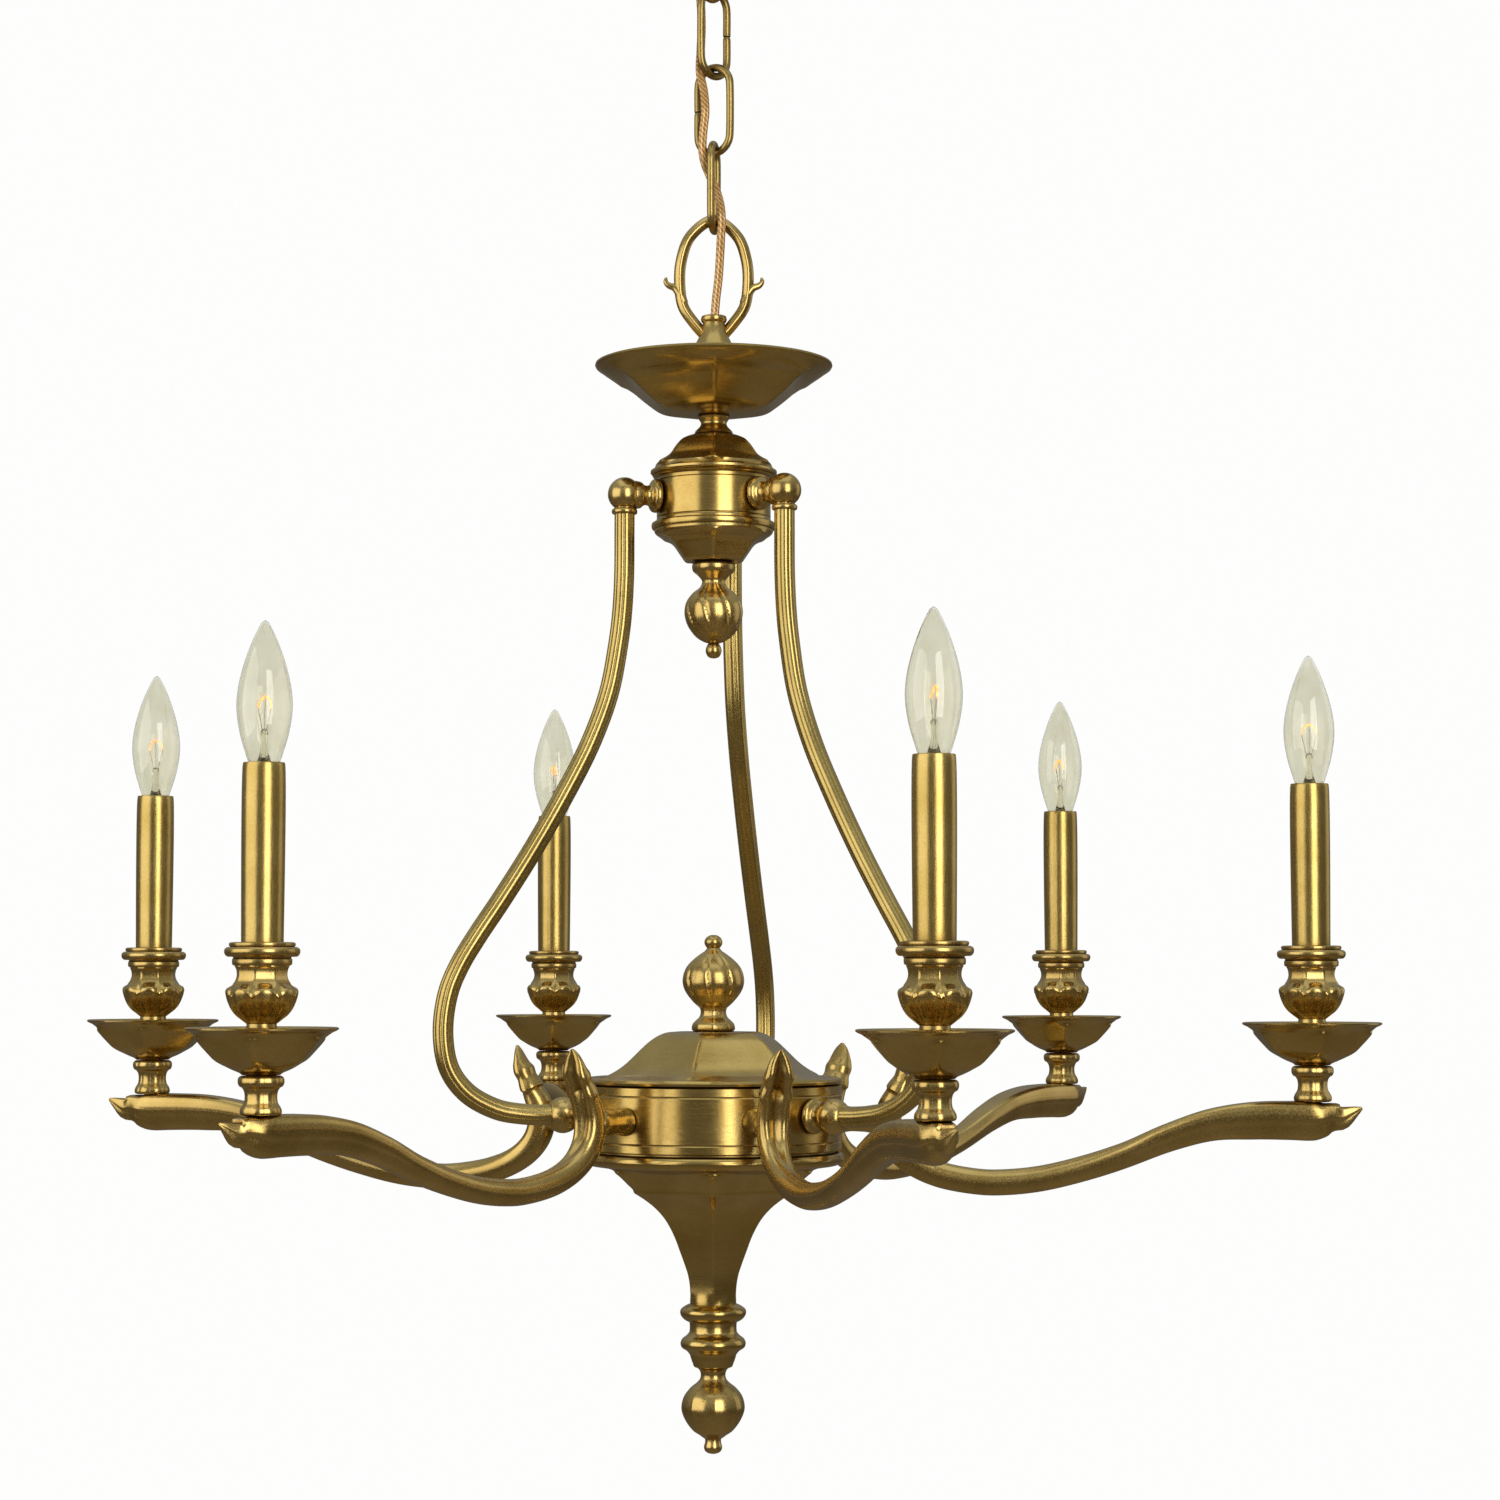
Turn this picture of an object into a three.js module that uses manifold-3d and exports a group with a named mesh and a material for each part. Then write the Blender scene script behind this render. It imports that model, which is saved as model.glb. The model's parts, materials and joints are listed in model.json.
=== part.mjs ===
// Six-light chandelier. A cast and turned brass body on six scrolled arms hangs from a ceiling canopy
// by three chain links, with three reeded stays between its upper and its lower hub.
// Millimetres, +Z up. The origin is the middle of the ceiling strap's top face, on the ceiling.
import * as THREE from "three";
import { mergeVertices } from "three/addons/utils/BufferGeometryUtils.js";
import Module from "manifold-3d";

const wasm = await Module();
wasm.setup();

// ---------------------------------------------------------------- driving dimensions
const DROP = 702; // ceiling to the body's datum plane, from which every level below is measured
const ARM_COUNT = 6;
const STAY_COUNT = 3;
const STAY_TURN = 90; // the stays stand midway between arms, in degrees
const FACET_TURN = 41.7; // one corner of the six-sided dishes and cones, in degrees
const CORNERS = 1.12; // how far the corners of six-sided castings stand out
const SPUN_CORNERS = 1.06; // the same for the spun dishes and the lower hub's cap
const CANDLE_R = 371; // candle axes from the chandelier's axis

const WIRE_R = 2.4; // chain wire
const LINK_HALF_WIDTH = 11.6; // to the wire's centre line
const LINK_HALF_LENGTH = 27.7; // to the wire's centre line
const LINK_SPLIT = 1.2; // open joint in one leg
const LINK_PITCH = 50; // from one link's bar to the next link's
const LINK_TURNS = [57, -18, 92]; // planes of the links, from the ceiling down, in degrees
const LINK_LEG_SPLIT = [1, -1, 1]; // which leg is split
const LOOP_BAR_LEVEL = 624.5; // middle of the ceiling loop's lowest bar
const CEILING_LOOP_TURN = -33;
const TOP_LOOP_TURN = 12; // plane of the chandelier's own loop, in degrees

const DRUM_R = 80.5; // lower hub
const UPPER_DRUM_R = 36;
const STAY_R = 6.4;
const COVER_R = 11.5;
const CORD_R = 2.6;
const ROD_R = 4.8;
const ROD_HOLE_R = 6;

// ---------------------------------------------------------------- finishes
const finish = (color, roughness, metalness) => ({ color, roughness, metalness });
const BRUSHED = finish(0xa98a4b, 0.34, 1);
const CAST = finish(0x96723f, 0.42, 1);
const STEEL = finish(0x9a9a98, 0.45, 1);
const IVORY = finish(0xe6e0cc, 0.6, 0);
const GLASS = finish(0xf1f0dc, 0.05, 0);
const CORD = finish(0xb98a3c, 0.35, 0);

// ---------------------------------------------------------------- geometry helpers
const radians = THREE.MathUtils.degToRad;
const lerp = THREE.MathUtils.lerp;

/** A manifold solid from a closed three.js geometry. */
function solid(geometry) {
  const bare = geometry.clone();
  bare.deleteAttribute("normal");
  bare.deleteAttribute("uv");
  const merged = mergeVertices(bare, 1e-3);
  return new wasm.Manifold(
    new wasm.Mesh({
      numProp: 3,
      vertProperties: merged.attributes.position.array,
      triVerts: new Uint32Array(merged.index.array),
    }),
  );
}

/** One geometry from several overlapping closed ones, less those in `cuts`. */
function join(parts, cuts = []) {
  let whole = parts.map(solid).reduce((a, b) => a.add(b));
  for (const cut of cuts) whole = whole.subtract(solid(cut));
  const mesh = whole.getMesh();
  const geometry = new THREE.BufferGeometry();
  geometry.setAttribute("position", new THREE.BufferAttribute(mesh.vertProperties, 3));
  geometry.setIndex(new THREE.BufferAttribute(mesh.triVerts, 1));
  return geometry;
}

/**
 * A body turned about Z. `profile` lists [radius, height] upwards along the outside, and either starts and
 * ends on the axis or closes on itself. `scale(angle, height)` multiplies the radius, for facets and lobes.
 */
function turned(profile, sides, scale) {
  const points = profile.map(([r, z]) => new THREE.Vector2(r, z));
  const geometry = new THREE.LatheGeometry(points, sides).rotateX(Math.PI / 2);
  if (!scale) return geometry;
  const place = geometry.attributes.position;
  for (let i = 0; i < place.count; i++) {
    const [x, y, z] = [place.getX(i), place.getY(i), place.getZ(i)];
    const k = scale(Math.atan2(y, x), z);
    place.setXY(i, x * k, y * k);
  }
  return geometry;
}

/**
 * Radius factor of a flat-sided hexagon with a corner at `corner` degrees, blended in by `amount(level)`. The
 * corners stand out from the stated radius by the factor `proud`.
 */
function hexagon(corner, amount, proud) {
  const step = Math.PI / 3;
  return (angle, z) => {
    const turn = THREE.MathUtils.euclideanModulo(angle - radians(corner), step) - step / 2;
    return lerp(1, (proud * Math.cos(step / 2)) / Math.cos(turn), amount(z));
  };
}

/** Radius factor of `count` rounded lobes, `depth` deep at the grooves, that turn by `swirl` per millimetre. */
function lobes(count, depth, low, high, swirl = 0) {
  return (angle, z) => {
    const rise = THREE.MathUtils.clamp((z - low) / (high - low), 0, 1);
    const wave = Math.abs(Math.cos(((angle + swirl * z) * count) / 2));
    return 1 - depth * Math.sin(Math.PI * rise) * (1 - wave);
  };
}

/** A round bar along a smooth open curve through `points`. */
function bar(points, radius, sides, steps) {
  const rim = Array.from({ length: sides }, (_, i) => {
    const angle = ((i + 0.5) * 2 * Math.PI) / sides;
    return new THREE.Vector2(radius * Math.cos(angle), radius * Math.sin(angle));
  });
  const extrudePath = new THREE.CatmullRomCurve3(points, false, "centripetal");
  return new THREE.ExtrudeGeometry(new THREE.Shape(rim), { extrudePath, steps, bevelEnabled: false });
}

/** A solid through closed rings of points, clockwise as seen from behind the way they run, capped at both ends. */
function loft(rings) {
  const size = rings[0].length;
  const places = [];
  const faces = [];
  for (const ring of rings) for (const p of ring) places.push(p.x, p.y, p.z);
  for (let i = 0; i + 1 < rings.length; i++) {
    for (let j = 0; j < size; j++) {
      const a = i * size + j;
      const b = i * size + ((j + 1) % size);
      faces.push(a, b + size, b, a, a + size, b + size);
    }
  }
  const last = (rings.length - 1) * size;
  for (let j = 1; j + 1 < size; j++) {
    faces.push(0, j, j + 1);
    faces.push(last, last + j + 1, last + j);
  }
  const geometry = new THREE.BufferGeometry();
  geometry.setAttribute("position", new THREE.Float32BufferAttribute(places, 3));
  geometry.setIndex(faces);
  return geometry;
}

/** A turned body laid along +X from the axis, at a height. */
function lying(profile, sides, level) {
  return turned(profile, sides).rotateY(Math.PI / 2).translate(0, 0, level);
}

const inPlane = (points) => points.map(([r, z]) => new THREE.Vector3(r, 0, z));

// ---------------------------------------------------------------- assembly
const chandelier = new THREE.Group();
const body = new THREE.Group(); // everything that is placed from the datum plane
body.position.z = -DROP;
chandelier.add(body);

function place(group, name, geometry, look) {
  const mesh = new THREE.Mesh(geometry, new THREE.MeshStandardMaterial(look));
  mesh.name = name;
  group.add(mesh);
  return mesh;
}

function turnedGroup(degrees) {
  const group = new THREE.Group();
  group.rotation.z = radians(degrees);
  body.add(group);
  return group;
}

// ---------------------------------------------------------------- ceiling fittings
function ceilingStrap() {
  const [half, width, thick, slotAt] = [50, 24, 3, 38];
  const outline = new THREE.Shape();
  outline.moveTo(-half + width / 2, -width / 2);
  outline.lineTo(half - width / 2, -width / 2);
  outline.absarc(half - width / 2, 0, width / 2, -Math.PI / 2, Math.PI / 2);
  outline.lineTo(-half + width / 2, width / 2);
  outline.absarc(-half + width / 2, 0, width / 2, Math.PI / 2, 1.5 * Math.PI);
  for (const side of [-1, 1]) {
    const slot = new THREE.Path();
    slot.absellipse(side * slotAt, 0, 4.5, 2.4, 0, 2 * Math.PI, true);
    outline.holes.push(slot);
  }
  const plate = new THREE.ExtrudeGeometry(outline, {
    depth: thick,
    bevelEnabled: false,
    curveSegments: 8,
  }).translate(0, 0, -thick);
  // the threaded boss that takes the loop's shank, open below
  const boss = turned([[5.4, -12], [9, -12], [9, -1.5], [0, -1.5], [0, -3.5], [5.4, -3.5], [5.4, -12]], 16);
  const core = turned([[0, -3.5], [8, -3.5], [8, -1], [0, -1]], 16);
  return join([plate, boss, core]);
}

// The loop's body has a bore for the cord, and its ring hangs below the canopy.
function ceilingLoop() {
  const shank = turned(
    [[3.6, 664], [9.2, 664], [11, 667], [11, 686], [5, 686], [5, 697.4], [3.6, 697.4], [3.6, 664]],
    16,
  );
  const ring = [[-5.4, 668], [-9.4, 661], [-10.8, 650], [-10.4, 638], [-7.4, 628.6], [0, LOOP_BAR_LEVEL]];
  const points = [...ring, ...ring.slice(0, -1).reverse().map(([x, z]) => [-x, z])];
  return join([shank, bar(inPlane(points), WIRE_R, 8, 16)]).rotateZ(radians(CEILING_LOOP_TURN));
}

function canopy() {
  const outside = [[14.2, -27.6], [24, -26.6], [30, -22], [42, -17.4], [55, -12.4], [62.4, -6], [64, 0]];
  const inside = [[62, 0], [60.4, -5.6], [53.6, -10.8], [41, -15.6], [29, -20.4], [23, -25], [14.2, -25.9]];
  return turned([...outside, ...inside, outside[0]], 18);
}

function canopyCollar() {
  return turned([[11.6, -36], [15, -36], [17.4, -33.6], [17.4, -30.6], [16, -28], [11.6, -28], [11.6, -36]], 16);
}

place(chandelier, "ceiling_strap", ceilingStrap(), STEEL);
place(chandelier, "canopy", canopy(), BRUSHED);
place(chandelier, "canopy_collar", canopyCollar(), CAST);
place(body, "canopy_loop", ceilingLoop(), CAST);

// ---------------------------------------------------------------- chain
// An open oval of wire: it starts on one side of the split in a leg and ends on the other.
function chainLink() {
  const straight = LINK_HALF_LENGTH - LINK_HALF_WIDTH;
  const arc = (end) =>
    [-90, -60, -30, 0, 30, 60, 90].map((a) => [
      end * LINK_HALF_WIDTH * Math.sin(radians(a)),
      end * (straight + LINK_HALF_WIDTH * Math.cos(radians(a))),
    ]);
  const leg = LINK_HALF_WIDTH;
  const points = [[leg, -LINK_SPLIT / 2], ...arc(-1), ...arc(1), [leg, LINK_SPLIT / 2]];
  return bar(inPlane(points), WIRE_R, 8, 22);
}

LINK_TURNS.forEach((turn, i) => {
  const link = place(body, "chain_link_" + (i + 1), chainLink(), BRUSHED);
  const split = LINK_LEG_SPLIT[i] > 0 ? 0 : 180;
  link.rotation.z = radians(turn + split);
  link.position.z = LOOP_BAR_LEVEL - LINK_PITCH * (i + 1) + LINK_HALF_LENGTH;
});

// ---------------------------------------------------------------- suspension loop and dish
function suspensionLoop() {
  const neck = turned(
    [
      [0, 359.3], [16, 359.3], [18.4, 372], [16.4, 388], [14, 399.6], [9.4, 405.4], [7.6, 412],
      [8.4, 417.4], [7.9, 419.4], [0, 419.4],
    ],
    16,
  );
  const half = [[-6.5, 407], [-13, 414], [-19.6, 425.4], [-21.6, 438], [-20.6, 455], [-14.6, 471.4], [0, 481.3]];
  const points = [...half, ...half.slice(0, -1).reverse().map(([x, z]) => [-x, z])];
  const horn = (side) =>
    bar(inPlane([[side * 19, 434], [side * 24, 440.4], [side * 28, 441], [side * 31, 443]]), 2, 6, 5);
  const cordHole = turned([[0, 405], [3.6, 405], [3.6, 422], [0, 422]], 12);
  const shankHole = turned([[0, 357], [ROD_HOLE_R, 357], [ROD_HOLE_R, 399], [0, 399]], 12);
  const parts = [neck, bar(inPlane(points), 3.2, 8, 22), horn(-1), horn(1)];
  return join(parts, [cordHole, shankHole]).rotateZ(radians(TOP_LOOP_TURN));
}

function topDish() {
  const outside = [
    [ROD_HOLE_R, 355.7], [18, 355.8], [31.5, 358.7], [38, 362.4], [52, 374.7], [63, 379.8], [72.4, 385], [75.2, 387.2],
  ];
  const inside = [[73.6, 388.2], [62, 382.8], [51, 377.8], [37, 365.6], [30, 361.6], [18, 359], [ROD_HOLE_R, 359]];
  const flatBelow = (z) => 1 - THREE.MathUtils.smoothstep(z, 374, 385);
  return turned([...outside, ...inside, outside[0]], 18, hexagon(FACET_TURN, flatBelow, SPUN_CORNERS));
}

function upperStem() {
  return turned(
    [
      [ROD_HOLE_R, 343.3], [11.4, 343.3], [12.2, 344.6], [11, 346.6], [8.6, 349], [8.2, 351], [9.2, 353],
      [10.2, 354.4], [9.8, 355.4], [ROD_HOLE_R, 355.4], [ROD_HOLE_R, 343.3],
    ],
    14,
  );
}

place(body, "top_loop", suspensionLoop(), CAST);
place(body, "top_dish", topDish(), BRUSHED);
place(body, "upper_stem", upperStem(), CAST);

// ---------------------------------------------------------------- upper hub
function upperCap() {
  const outside = [[36, 317.6], [40, 317.6], [39.6, 320.6], [36.6, 323.6], [29, 327.9], [24.8, 333.4], [19.8, 339.5]];
  const inside = [[ROD_HOLE_R, 343], [ROD_HOLE_R, 339], [17, 337.6], [23, 331.4], [27, 325.6], [36, 320.6]];
  const flatAbove = (z) => THREE.MathUtils.smoothstep(z, 322, 327);
  return turned([...outside, ...inside, outside[0]], 12, hexagon(FACET_TURN, flatAbove, CORNERS));
}

function upperDrum() {
  return turned(
    [
      [33, 283], [39.3, 283], [39.3, 287], [UPPER_DRUM_R, 288.4], [UPPER_DRUM_R, 315.6],
      [38.6, 317.3], [33, 317.3], [33, 283],
    ],
    18,
  );
}

function upperBase() {
  const outside = [[ROD_HOLE_R, 262.5], [17.6, 262.5], [18.9, 264], [22.4, 269.6], [27.4, 275.6], [36.4, 279.6], [37.4, 282.7]];
  const inside = [[33, 282.7], [23.4, 278.6], [17.6, 270], [ROD_HOLE_R, 266.5]];
  const flatBelow = (z) => 1 - THREE.MathUtils.smoothstep(z, 276, 281);
  return turned([...outside, ...inside, outside[0]], 12, hexagon(FACET_TURN, flatBelow, CORNERS));
}

// The drop finial's shank rises through the upper hub, the spacer and the dish into the loop's neck.
function upperFinial() {
  return turned(
    [
      [0, 201], [5.1, 205.6], [3.8, 210], [11, 214], [16.6, 221], [18.4, 230], [16, 238.4], [8.8, 247],
      [8.8, 253], [13.3, 257], [13.3, 262], [ROD_R, 262],
      [ROD_R, 398], [0, 398],
    ],
    16,
    lobes(8, 0.1, 211, 247, 0.02),
  );
}

place(body, "upper_cap", upperCap(), CAST);
place(body, "upper_drum", upperDrum(), BRUSHED);
place(body, "upper_base", upperBase(), CAST);
place(body, "upper_finial", upperFinial(), CAST);

// ---------------------------------------------------------------- stays
// One stay: the tube with its ball elbow on the upper drum and its turned connector on the lower drum.
function stay() {
  const [elbowR, elbowLevel, footLevel] = [59, 302.6, -85];
  const tube = bar(
    inPlane([
      [elbowR, elbowLevel], [59, 250], [63, 206], [69, 177], [81, 145], [97, 114], [118, 78], [138, 47],
      [161, 14], [171, -10], [174, -34], [170, -56], [158.5, -71], [140, -81], [124.5, -84], [104, footLevel],
    ]),
    STAY_R,
    8,
    20,
  );
  const ball = new THREE.SphereGeometry(10.4, 10, 6).translate(elbowR, 0, elbowLevel);
  const near = UPPER_DRUM_R + 0.6;
  const elbow = [[0, near], [10.2, near], [10.2, near + 4.6], [6.5, near + 7], [6.5, elbowR], [0, elbowR]];
  const root = DRUM_R + 0.4;
  const foot = [
    [0, root], [10.4, root], [10.4, root + 4], [8.2, root + 7], [10.8, root + 11], [11, root + 18],
    [8.6, root + 26], [0, root + 26],
  ];
  return join([tube, ball, lying(elbow, 10, elbowLevel), lying(foot, 10, footLevel)]);
}

for (let i = 0; i < STAY_COUNT; i++) {
  place(turnedGroup(STAY_TURN + (i * 360) / STAY_COUNT), "stay_" + (i + 1), stay(), BRUSHED);
}

// ---------------------------------------------------------------- lower hub
function hubCap() {
  const outside = [[76, -66], [80, -65.4], [78, -63.4], [70, -63], [57, -55], [47.6, -46], [37.6, -38], [30, -36]];
  const inside = [[ROD_HOLE_R, -36], [ROD_HOLE_R, -39], [29, -39.4], [45, -48.6], [55, -57.6], [69, -65.6]];
  const flatAbove = (z) => THREE.MathUtils.smoothstep(z, -64, -60);
  return turned([...outside, ...inside, outside[0]], 18, hexagon(STAY_TURN, flatAbove, SPUN_CORNERS));
}

function hubDrum() {
  return turned([[76.5, -107.4], [DRUM_R, -107.4], [DRUM_R, -66.4], [76.5, -66.4], [76.5, -107.4]], 30);
}

function hubBase() {
  const outside = [
    [ROD_HOLE_R, -242.6], [11.6, -242.6], [14.4, -234.7], [19.8, -229.8], [19.8, -226.2], [14.8, -222], [14.8, -215],
    [20.4, -211.2], [20.4, -206.6], [14.2, -203.6], [14.8, -190], [18.6, -175.1], [24.2, -161.2], [33, -146.6],
    [42.2, -138], [49.6, -132.6], [62, -120.5], [76, -117.2], [81, -113], [79, -107.8],
  ];
  const inside = [[74, -107.8], [74, -112], [60, -117], [38, -134], [20, -162], [ROD_HOLE_R, -190]];
  const flatBetween = (z) => THREE.MathUtils.smoothstep(z, -204, -198) - THREE.MathUtils.smoothstep(z, -126, -120);
  return turned([...outside, ...inside, outside[0]], 18, hexagon(FACET_TURN, flatBetween, CORNERS));
}

function hubFinial() {
  return turned(
    [
      [0, -14], [ROD_HOLE_R, -14], [ROD_HOLE_R, -35.7], [13.2, -35.7], [12.6, -29], [7.9, -23.6],
      [10.6, -18.6], [16.4, -11.4], [18.6, -2.8], [15.6, 7], [7.4, 15], [3.4, 17.2], [4.9, 21.8], [0, 26],
    ],
    16,
    lobes(8, 0.1, -18, 16, 0.008),
  );
}

function bottomFinial() {
  return turned(
    [
      [0, -296], [5.2, -291.6], [3.8, -287.4], [11.4, -282], [17.6, -274.6], [19.6, -267.4], [16.4, -258.4],
      [7.9, -249], [9.6, -242.9], [ROD_HOLE_R, -242.9],
      [ROD_HOLE_R, -262], [0, -262],
    ],
    16,
    lobes(8, 0.08, -287, -253),
  );
}

function hubRod() {
  return turned([[0, -261], [ROD_R, -261], [ROD_R, -15], [0, -15]], 12);
}

place(body, "hub_cap", hubCap(), BRUSHED);
place(body, "hub_drum", hubDrum(), BRUSHED);
place(body, "hub_base", hubBase(), BRUSHED);
place(body, "hub_finial", hubFinial(), CAST);
place(body, "bottom_finial", bottomFinial(), CAST);
place(body, "hub_rod", hubRod(), STEEL);

// ---------------------------------------------------------------- arms
// Stations along the arm, from the leaf's tip round the scroll to the prow:
// [radius, level, half width, half depth, 0 for a round section to 1 for the two-tier one]
const ARM_STATIONS = [
  [125.4, -43.6, 3.4, 1.6, 0],
  [121, -52, 7.6, 4, 0],
  [114.6, -66, 9.4, 7.4, 0],
  [110.6, -84, 9.2, 9.6, 0],
  [114, -101, 8.6, 9, 0],
  [125, -114, 8.2, 8.4, 0],
  [143, -122.4, 8, 8.2, 0],
  [168, -126, 8, 8, 0],
  [200, -124.4, 8, 8, 0],
  [228, -118, 8.2, 7.8, 0.1],
  [256, -109.2, 9, 7.8, 0.5],
  [284, -97.6, 10, 8.4, 0.9],
  [310, -89.6, 10.8, 9.4, 1],
  [340, -86.8, 11.7, 10.8, 1],
  [374, -86.4, 11.9, 11.6, 1],
  [387, -82.4, 8.4, 7.2, 1],
  [395, -79.8, 4.4, 4.2, 1],
  [400, -78.6, 1.2, 2.2, 1],
];
// Half outlines of the two sections in units of half width and half depth, from the top round to the bottom.
const ROUND_SECTION = [[0, 1.02], [0.72, 0.72], [1.02, 0], [0.72, -0.72], [0, -1.02]];
const PROW_SECTION = [[0, 1], [0.9, 0.8], [0.94, 0.1], [0.56, -0.8], [0, -1]];

function arm() {
  const spine = new THREE.CatmullRomCurve3(inPlane(ARM_STATIONS), false, "centripetal");
  const last = ARM_STATIONS.length - 1;
  const rings = ARM_STATIONS.map(([r, z, halfWidth, halfDepth, prow], i) => {
    const along = spine.getTangent(i / last);
    const up = new THREE.Vector3(-along.z, 0, along.x);
    const half = ROUND_SECTION.map(([a, b], j) => [
      halfWidth * lerp(a, PROW_SECTION[j][0], prow),
      halfDepth * lerp(b, PROW_SECTION[j][1], prow),
    ]);
    const outline = [...half, ...half.slice(1, -1).reverse().map(([a, b]) => [-a, b])];
    return outline.map(([a, b]) => new THREE.Vector3(r + up.x * b, a, z + up.z * b));
  });
  const nipple = lying([[0, DRUM_R + 0.4], [8.4, DRUM_R + 0.4], [8.4, 108], [0, 108]], 10, -88);
  return join([loft(rings), nipple]);
}

// The pan's pedestal stands on the arm's flat top, and the whole candle stack is built on it.
function dripPan() {
  return turned(
    [
      [0, -74.4], [11, -74.4], [11, -70.4], [9.1, -66], [9.6, -62], [12.6, -59], [12.6, -54], [15.8, -50.4],
      [21.8, -46.7], [27.5, -41.2], [33.9, -34], [38, -30], [42, -28.5], [42, -27.7], [37, -29], [32.4, -33.4],
      [26, -40.4], [20, -45.6], [9.4, -48.6], [0, -48.6],
    ],
    12,
    hexagon(FACET_TURN, (z) => (z > -48 && z < -33 ? 1 : 0), SPUN_CORNERS),
  );
}

function candleCup() {
  return turned(
    [
      [0, -48.2], [7.8, -48.2], [7.8, -25.6], [15.6, -19.2], [19.8, -9], [14.6, -3], [14.6, 3], [15.9, 9],
      [20.3, 11.6], [20.3, 15.4], [17.9, 18.6], [13.4, 18.6], [13.4, 8], [0, 8],
    ],
    16,
    lobes(8, 0.1, -27, -3),
  );
}

function candleCover() {
  const inner = COVER_R - 0.9;
  return turned([[inner, 9], [COVER_R, 9], [COVER_R, 117.5], [inner, 117.5], [inner, 9]], 12);
}

// The socket stands on the cup's floor inside the cover, open at the top for the lamp's base.
function socket() {
  return turned(
    [[0, 8.3], [9.6, 8.3], [9.6, 112], [7.4, 112], [7.4, 88], [0, 88]],
    8,
  );
}

function bulb() {
  return turned(
    [
      [0, 90], [6, 92], [6, 113], [10.8, 124], [14, 137], [15.35, 149], [13.9, 163], [10.4, 175.4], [5, 188],
      [0, 196],
    ],
    10,
  );
}

for (let i = 0; i < ARM_COUNT; i++) {
  const group = turnedGroup((i * 360) / ARM_COUNT);
  const tag = "_" + (i + 1);
  place(group, "arm" + tag, arm(), CAST);
  const candle = new THREE.Group();
  candle.position.x = CANDLE_R;
  group.add(candle);
  place(candle, "drip_pan" + tag, dripPan(), CAST);
  place(candle, "candle_cup" + tag, candleCup(), CAST);
  place(candle, "candle_cover" + tag, candleCover(), BRUSHED);
  place(candle, "socket" + tag, socket(), IVORY);
  place(candle, "bulb" + tag, bulb(), GLASS);
}

// ---------------------------------------------------------------- supply cord
// From the loop's neck up through the chain, inside each link, into the ceiling loop's bore. Each entry is
// [across, away, level] in the plane that faces the chandelier's loop.
const CORD_ROUTE = [
  [0, 0, 409], [0.4, 0, 417], [1.4, 0, 430], [3, -0.8, 444], [3.9, -2.6, 458], [4.5, -5.4, 470],
  [4.9, -7, 480], [4.2, -6, 489], [1.8, -3, 499], [-2.4, -1.4, 509], [-6, -2.2, 518], [-7.4, -3.2, 527],
  [-6.8, -4.6, 538], [-5.6, -5.4, 550], [-6.4, -3.6, 563], [-9, -1.4, 577], [-8.6, 0, 590], [-8, 0.4, 605],
  [-8.2, 0.2, 617], [-8.6, -0.3, 627], [-5.4, -0.2, 638], [-2, 0, 648], [0, 0, 659], [0, 0, 672], [0, 0, 690],
];

function supplyCord() {
  const points = CORD_ROUTE.map(([across, away, level]) => new THREE.Vector3(across, away, level));
  return bar(points, CORD_R, 8, 44).rotateZ(radians(TOP_LOOP_TURN));
}

place(body, "supply_cord", supplyCord(), CORD);

export default chandelier;
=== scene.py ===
import json
import math

import bmesh
import bpy
import numpy as np
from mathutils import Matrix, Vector

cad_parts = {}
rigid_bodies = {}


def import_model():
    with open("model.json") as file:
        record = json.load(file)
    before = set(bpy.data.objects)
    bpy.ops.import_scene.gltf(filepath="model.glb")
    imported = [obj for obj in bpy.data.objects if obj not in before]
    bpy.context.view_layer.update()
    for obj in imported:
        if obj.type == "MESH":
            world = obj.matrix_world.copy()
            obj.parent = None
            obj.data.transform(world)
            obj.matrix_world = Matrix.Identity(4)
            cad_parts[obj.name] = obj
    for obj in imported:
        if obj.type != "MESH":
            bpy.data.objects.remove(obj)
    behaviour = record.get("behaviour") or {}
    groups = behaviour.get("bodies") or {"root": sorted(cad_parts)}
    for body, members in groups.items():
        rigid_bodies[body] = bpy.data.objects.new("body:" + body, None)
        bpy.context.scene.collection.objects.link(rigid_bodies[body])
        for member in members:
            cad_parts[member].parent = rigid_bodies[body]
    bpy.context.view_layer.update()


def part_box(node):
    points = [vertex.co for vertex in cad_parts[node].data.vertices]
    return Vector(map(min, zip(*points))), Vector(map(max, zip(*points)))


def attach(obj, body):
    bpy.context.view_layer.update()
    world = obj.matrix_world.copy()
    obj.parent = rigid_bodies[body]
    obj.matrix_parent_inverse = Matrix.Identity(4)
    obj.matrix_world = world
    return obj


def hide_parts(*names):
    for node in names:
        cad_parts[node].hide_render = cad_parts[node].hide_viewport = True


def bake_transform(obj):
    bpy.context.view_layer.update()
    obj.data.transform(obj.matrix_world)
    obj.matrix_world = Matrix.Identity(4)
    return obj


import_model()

# ---------------------------------------------------------------- places, from the frame
MM = 0.001
DRUM_TOP = -66.4  # the lower drum's top edge, below the datum plane
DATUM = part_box("hub_drum")[1][2] - DRUM_TOP * MM
PAN_LOW, PAN_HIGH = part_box("drip_pan_1")
CANDLE_R = (PAN_LOW[0] + PAN_HIGH[0]) / 2 / MM
CEILING = -DATUM / MM
ARMS = 6
STAYS = 3
STAY_TURN = 90  # the first stay, in degrees from +X
STAY_DROP_R = 59  # from the chandelier's axis to a stay's upright top
STAY_TOP = 302.6  # level of the stays' upper joints
STAY_FOOT = -85  # level of the stays' joints into the lower drum
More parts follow.
